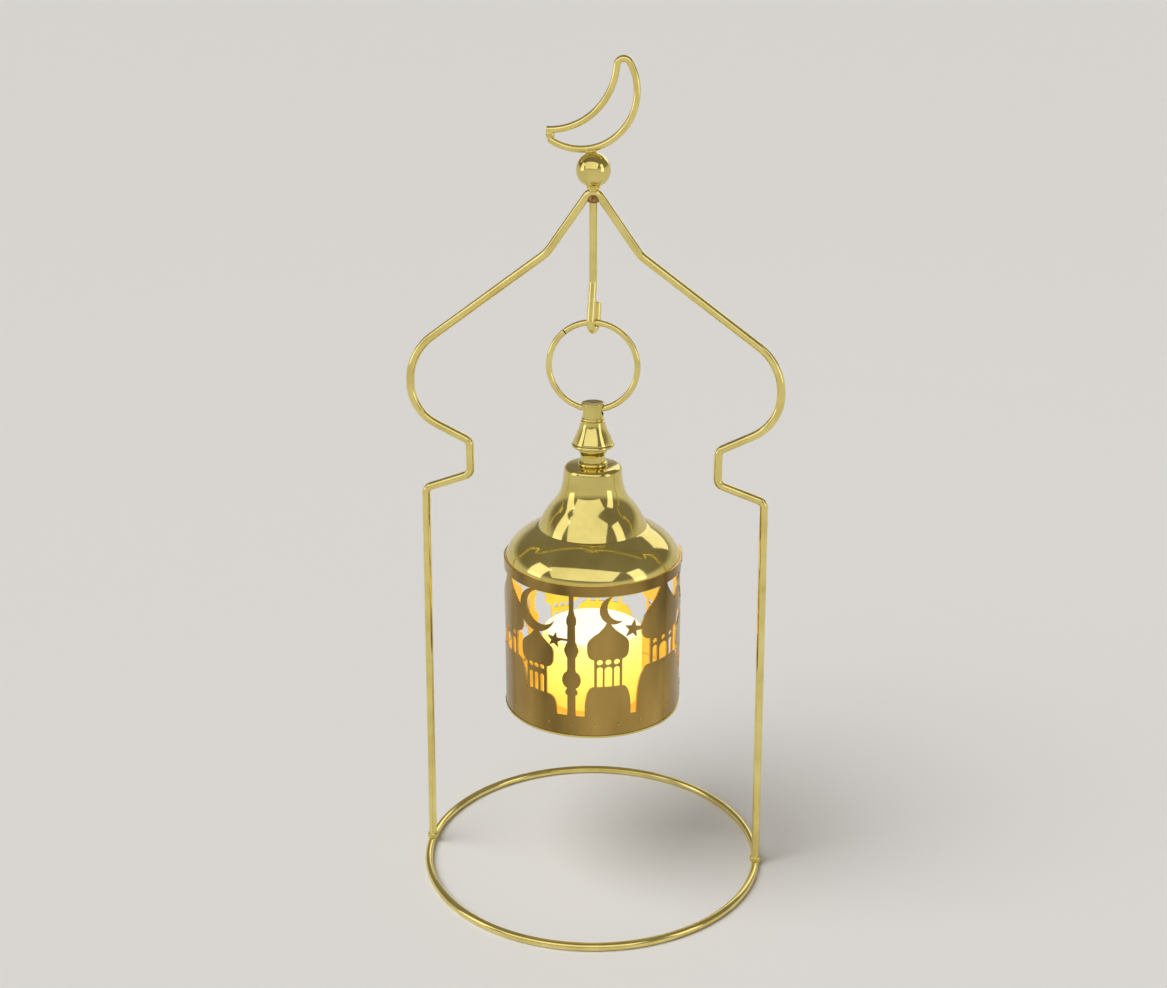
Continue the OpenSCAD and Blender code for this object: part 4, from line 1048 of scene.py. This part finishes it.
def makeTray():
    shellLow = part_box("shell")[0].z
    sheet, edge, rim, rimTop = tray["sheet"], tray["edge"], tray["rim"], tray["rimTop"]
    hole, wall, floor, seat = tray["hole"], tray["wall"], tray["floor"], tray["collar"]
    low, seatTop, wallTop = floor - sheet, floor + tray["collarTall"], tray["wallTop"]
    outline = [(hole, low), (rim - edge * 1.5, low)]
    outline += bow((rim - edge, low), (rim, low), (rim, low), (rim, low + edge), 4)
    outline += bow((rim, rimTop - edge), (rim, rimTop), (rim, rimTop), (rim - edge, rimTop), 4)
    outline += [(wall, rimTop), (wall, wallTop), (wall - sheet, wallTop), (wall - sheet, floor),
                (seat + sheet, floor), (seat + sheet, seatTop), (seat, seatTop), (seat, floor),
                (hole, floor), (hole, low)]
    piece = turnOnLathe("baseTray", outline, shellLow, steps=192)
    dress(piece, "tray", spunGold, ["base_tray"], smooth=30)
    # the inside of the pan gets the painted glow, standing in for the candle's light
    piece.data.materials.append(innerPaintedGlowGold)
    for face in piece.data.polygons:
        across = math.hypot(face.center.x, face.center.y) / mm
        above = (face.center.z - shellLow) / mm
        if across < wall - sheet * tray["paintedGlowAcross"] and above > floor - sheet * tray["paintedGlowAbove"]:
            face.material_index = 1


candle = {"wall": 1.3, "footEdge": 0.3, "edge": 2.2, "lip": 3.0, "run": 6.0, "dish": 2.2, "topSheet": 1.4,
          "chamfer": 1.6, "ledHole": 2.75}


def makeCandle():
    low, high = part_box("candle_body")
    wide, tall = high.x / mm, (high.z - low.z) / mm
    edge, run, foot, hole = candle["edge"], candle["run"], candle["footEdge"], candle["ledHole"]
    lip = wide - candle["lip"]
    dishZ = tall - candle["dish"]
    inside = wide - candle["wall"]
    roof = dishZ - candle["topSheet"]
    outline = [(inside, 0), (wide - foot, 0), (wide, foot)]
    outline += bow((wide, tall - edge), (wide, tall - edge / 3), (wide - edge / 3, tall),
                   (wide - edge, tall), 12)
    outline += bow((lip, tall), (lip - run / 4, tall), (lip - run / 2, dishZ), (lip - run, dishZ), 16)
    outline += [(hole, dishZ), (hole, roof), (inside - candle["chamfer"], roof),
                (inside, roof - candle["chamfer"]), (inside, 0)]
    piece = turnOnLathe("candleBody", outline, low.z, steps=128)
    finish = candleFinish(low.z, high.z, high.x)
    dress(piece, "tray", finish, ["candle_body"], smooth=35)


# what stays as the frame has it, with its own finish

def finishKept():
    finishes = {"knob_screw": steel, "screw_washer": steel, "candle_chassis": whitePlastic, "led": litLens,
                "circuit_board": solderMask, "coin_cell": steel, "positive_contact": steel,
                "negative_contact": steel, "switch_body": steel, "switch_slider": blackPlastic,
                "battery_cover": whitePlastic}
    for name, material in finishes.items():
        mesh = nodes[name].data
        mesh.materials.clear()
        mesh.materials.append(material)


# floor and light

studio = {"floor": (0.82, 0.815, 0.80), "floorSize": 60.0, "floorGloss": 0.8, "floorSheen": 0.1,
          "horizon": (0.68, 0.66, 0.62), "zenith": (0.24, 0.22, 0.20), "skyline": 0.1, "skyTop": 0.3,
          "sunPower": 2.3, "sunAngle": 50.0, "sunAt": (-0.62, -0.42, 1.0), "aim": (0, 0, 0.13)}
panels = {"frontPanel": {"at": (-0.12, -0.95, 0.98), "wide": 2.1, "tall": 1.0, "power": 5.8},
          "leftPanel": {"at": (-1.1, -0.35, 0.6), "wide": 0.5, "tall": 0.9, "power": 1.6},
          "rightPanel": {"at": (1.1, -0.4, 0.55), "wide": 0.4, "tall": 0.9, "power": 1.3},
          "backPanel": {"at": (0.35, 1.1, 0.7), "wide": 0.9, "tall": 0.5, "power": 1.6}}


def makeFloor():
    clearSelection()
    bpy.ops.mesh.primitive_plane_add(size=studio["floorSize"], location=(0, 0, 0))
    floor = bpy.context.object
    floor.name = "floor"
    material, tree, shader = nodeTree("paleFloor")
    shader.inputs["Base Color"].default_value = (*studio["floor"], 1)
    shader.inputs["Roughness"].default_value = studio["floorGloss"]
    shader.inputs["Specular IOR Level"].default_value = studio["floorSheen"]
    floor.data.materials.append(material)


def makeLight():
    world = bpy.data.worlds.new("studio")
    bpy.context.scene.world = world
    world.use_nodes = True
    tree = world.node_tree
    place = tree.nodes.new("ShaderNodeTexCoord")
    parts = tree.nodes.new("ShaderNodeSeparateXYZ")
    tree.links.new(place.outputs["Generated"], parts.inputs["Vector"])
    horizon, zenith = studio["horizon"], studio["zenith"]
    shade = ramp(tree, parts.outputs["Z"], [(0.0, horizon), (studio["skyline"], horizon),
                                            (studio["skyTop"], zenith), (1.0, zenith)])
    tree.links.new(shade, tree.nodes["Background"].inputs["Color"])
    # one broad sun lights the whole floor evenly, and four panels are what the polished metal shows
    sunAt = Vector(studio["sunAt"])
    bpy.ops.object.light_add(type="SUN", location=sunAt, rotation=sunAt.to_track_quat("Z", "Y").to_euler())
    sun = bpy.context.object
    sun.name = "broadSun"
    sun.data.energy = studio["sunPower"]
    sun.data.angle = math.radians(studio["sunAngle"])
    sun.visible_glossy = False
    aim = Vector(studio["aim"])
    for name, panel in panels.items():
        spot = Vector(panel["at"])
        bpy.ops.object.light_add(type="AREA", location=spot,
                                 rotation=(aim - spot).to_track_quat("-Z", "Y").to_euler())
        lamp = bpy.context.object
        lamp.name = name
        lamp.data.shape = "RECTANGLE"
        lamp.data.size = panel["wide"]
        lamp.data.size_y = panel["tall"]
        lamp.data.energy = panel["power"]
        lamp.visible_diffuse = False
    bpy.context.scene.view_settings.view_transform = "Standard"


placeCamera()
makeBaseRing()
makeArch()
makeBall()
makeCollar()
makeCrescent()
makeHook()
makeFeet()
print("stand bent and brazed")
makeHangingRing()
makeKnob()
makeWasher()
makeCap()
print("knob and cap turned")
makeShell()
print("shell pierced and rolled")
makeTray()
makeCandle()
finishKept()
print("tray and candle in place")
makeFloor()
makeLight()
print("floor and light set")
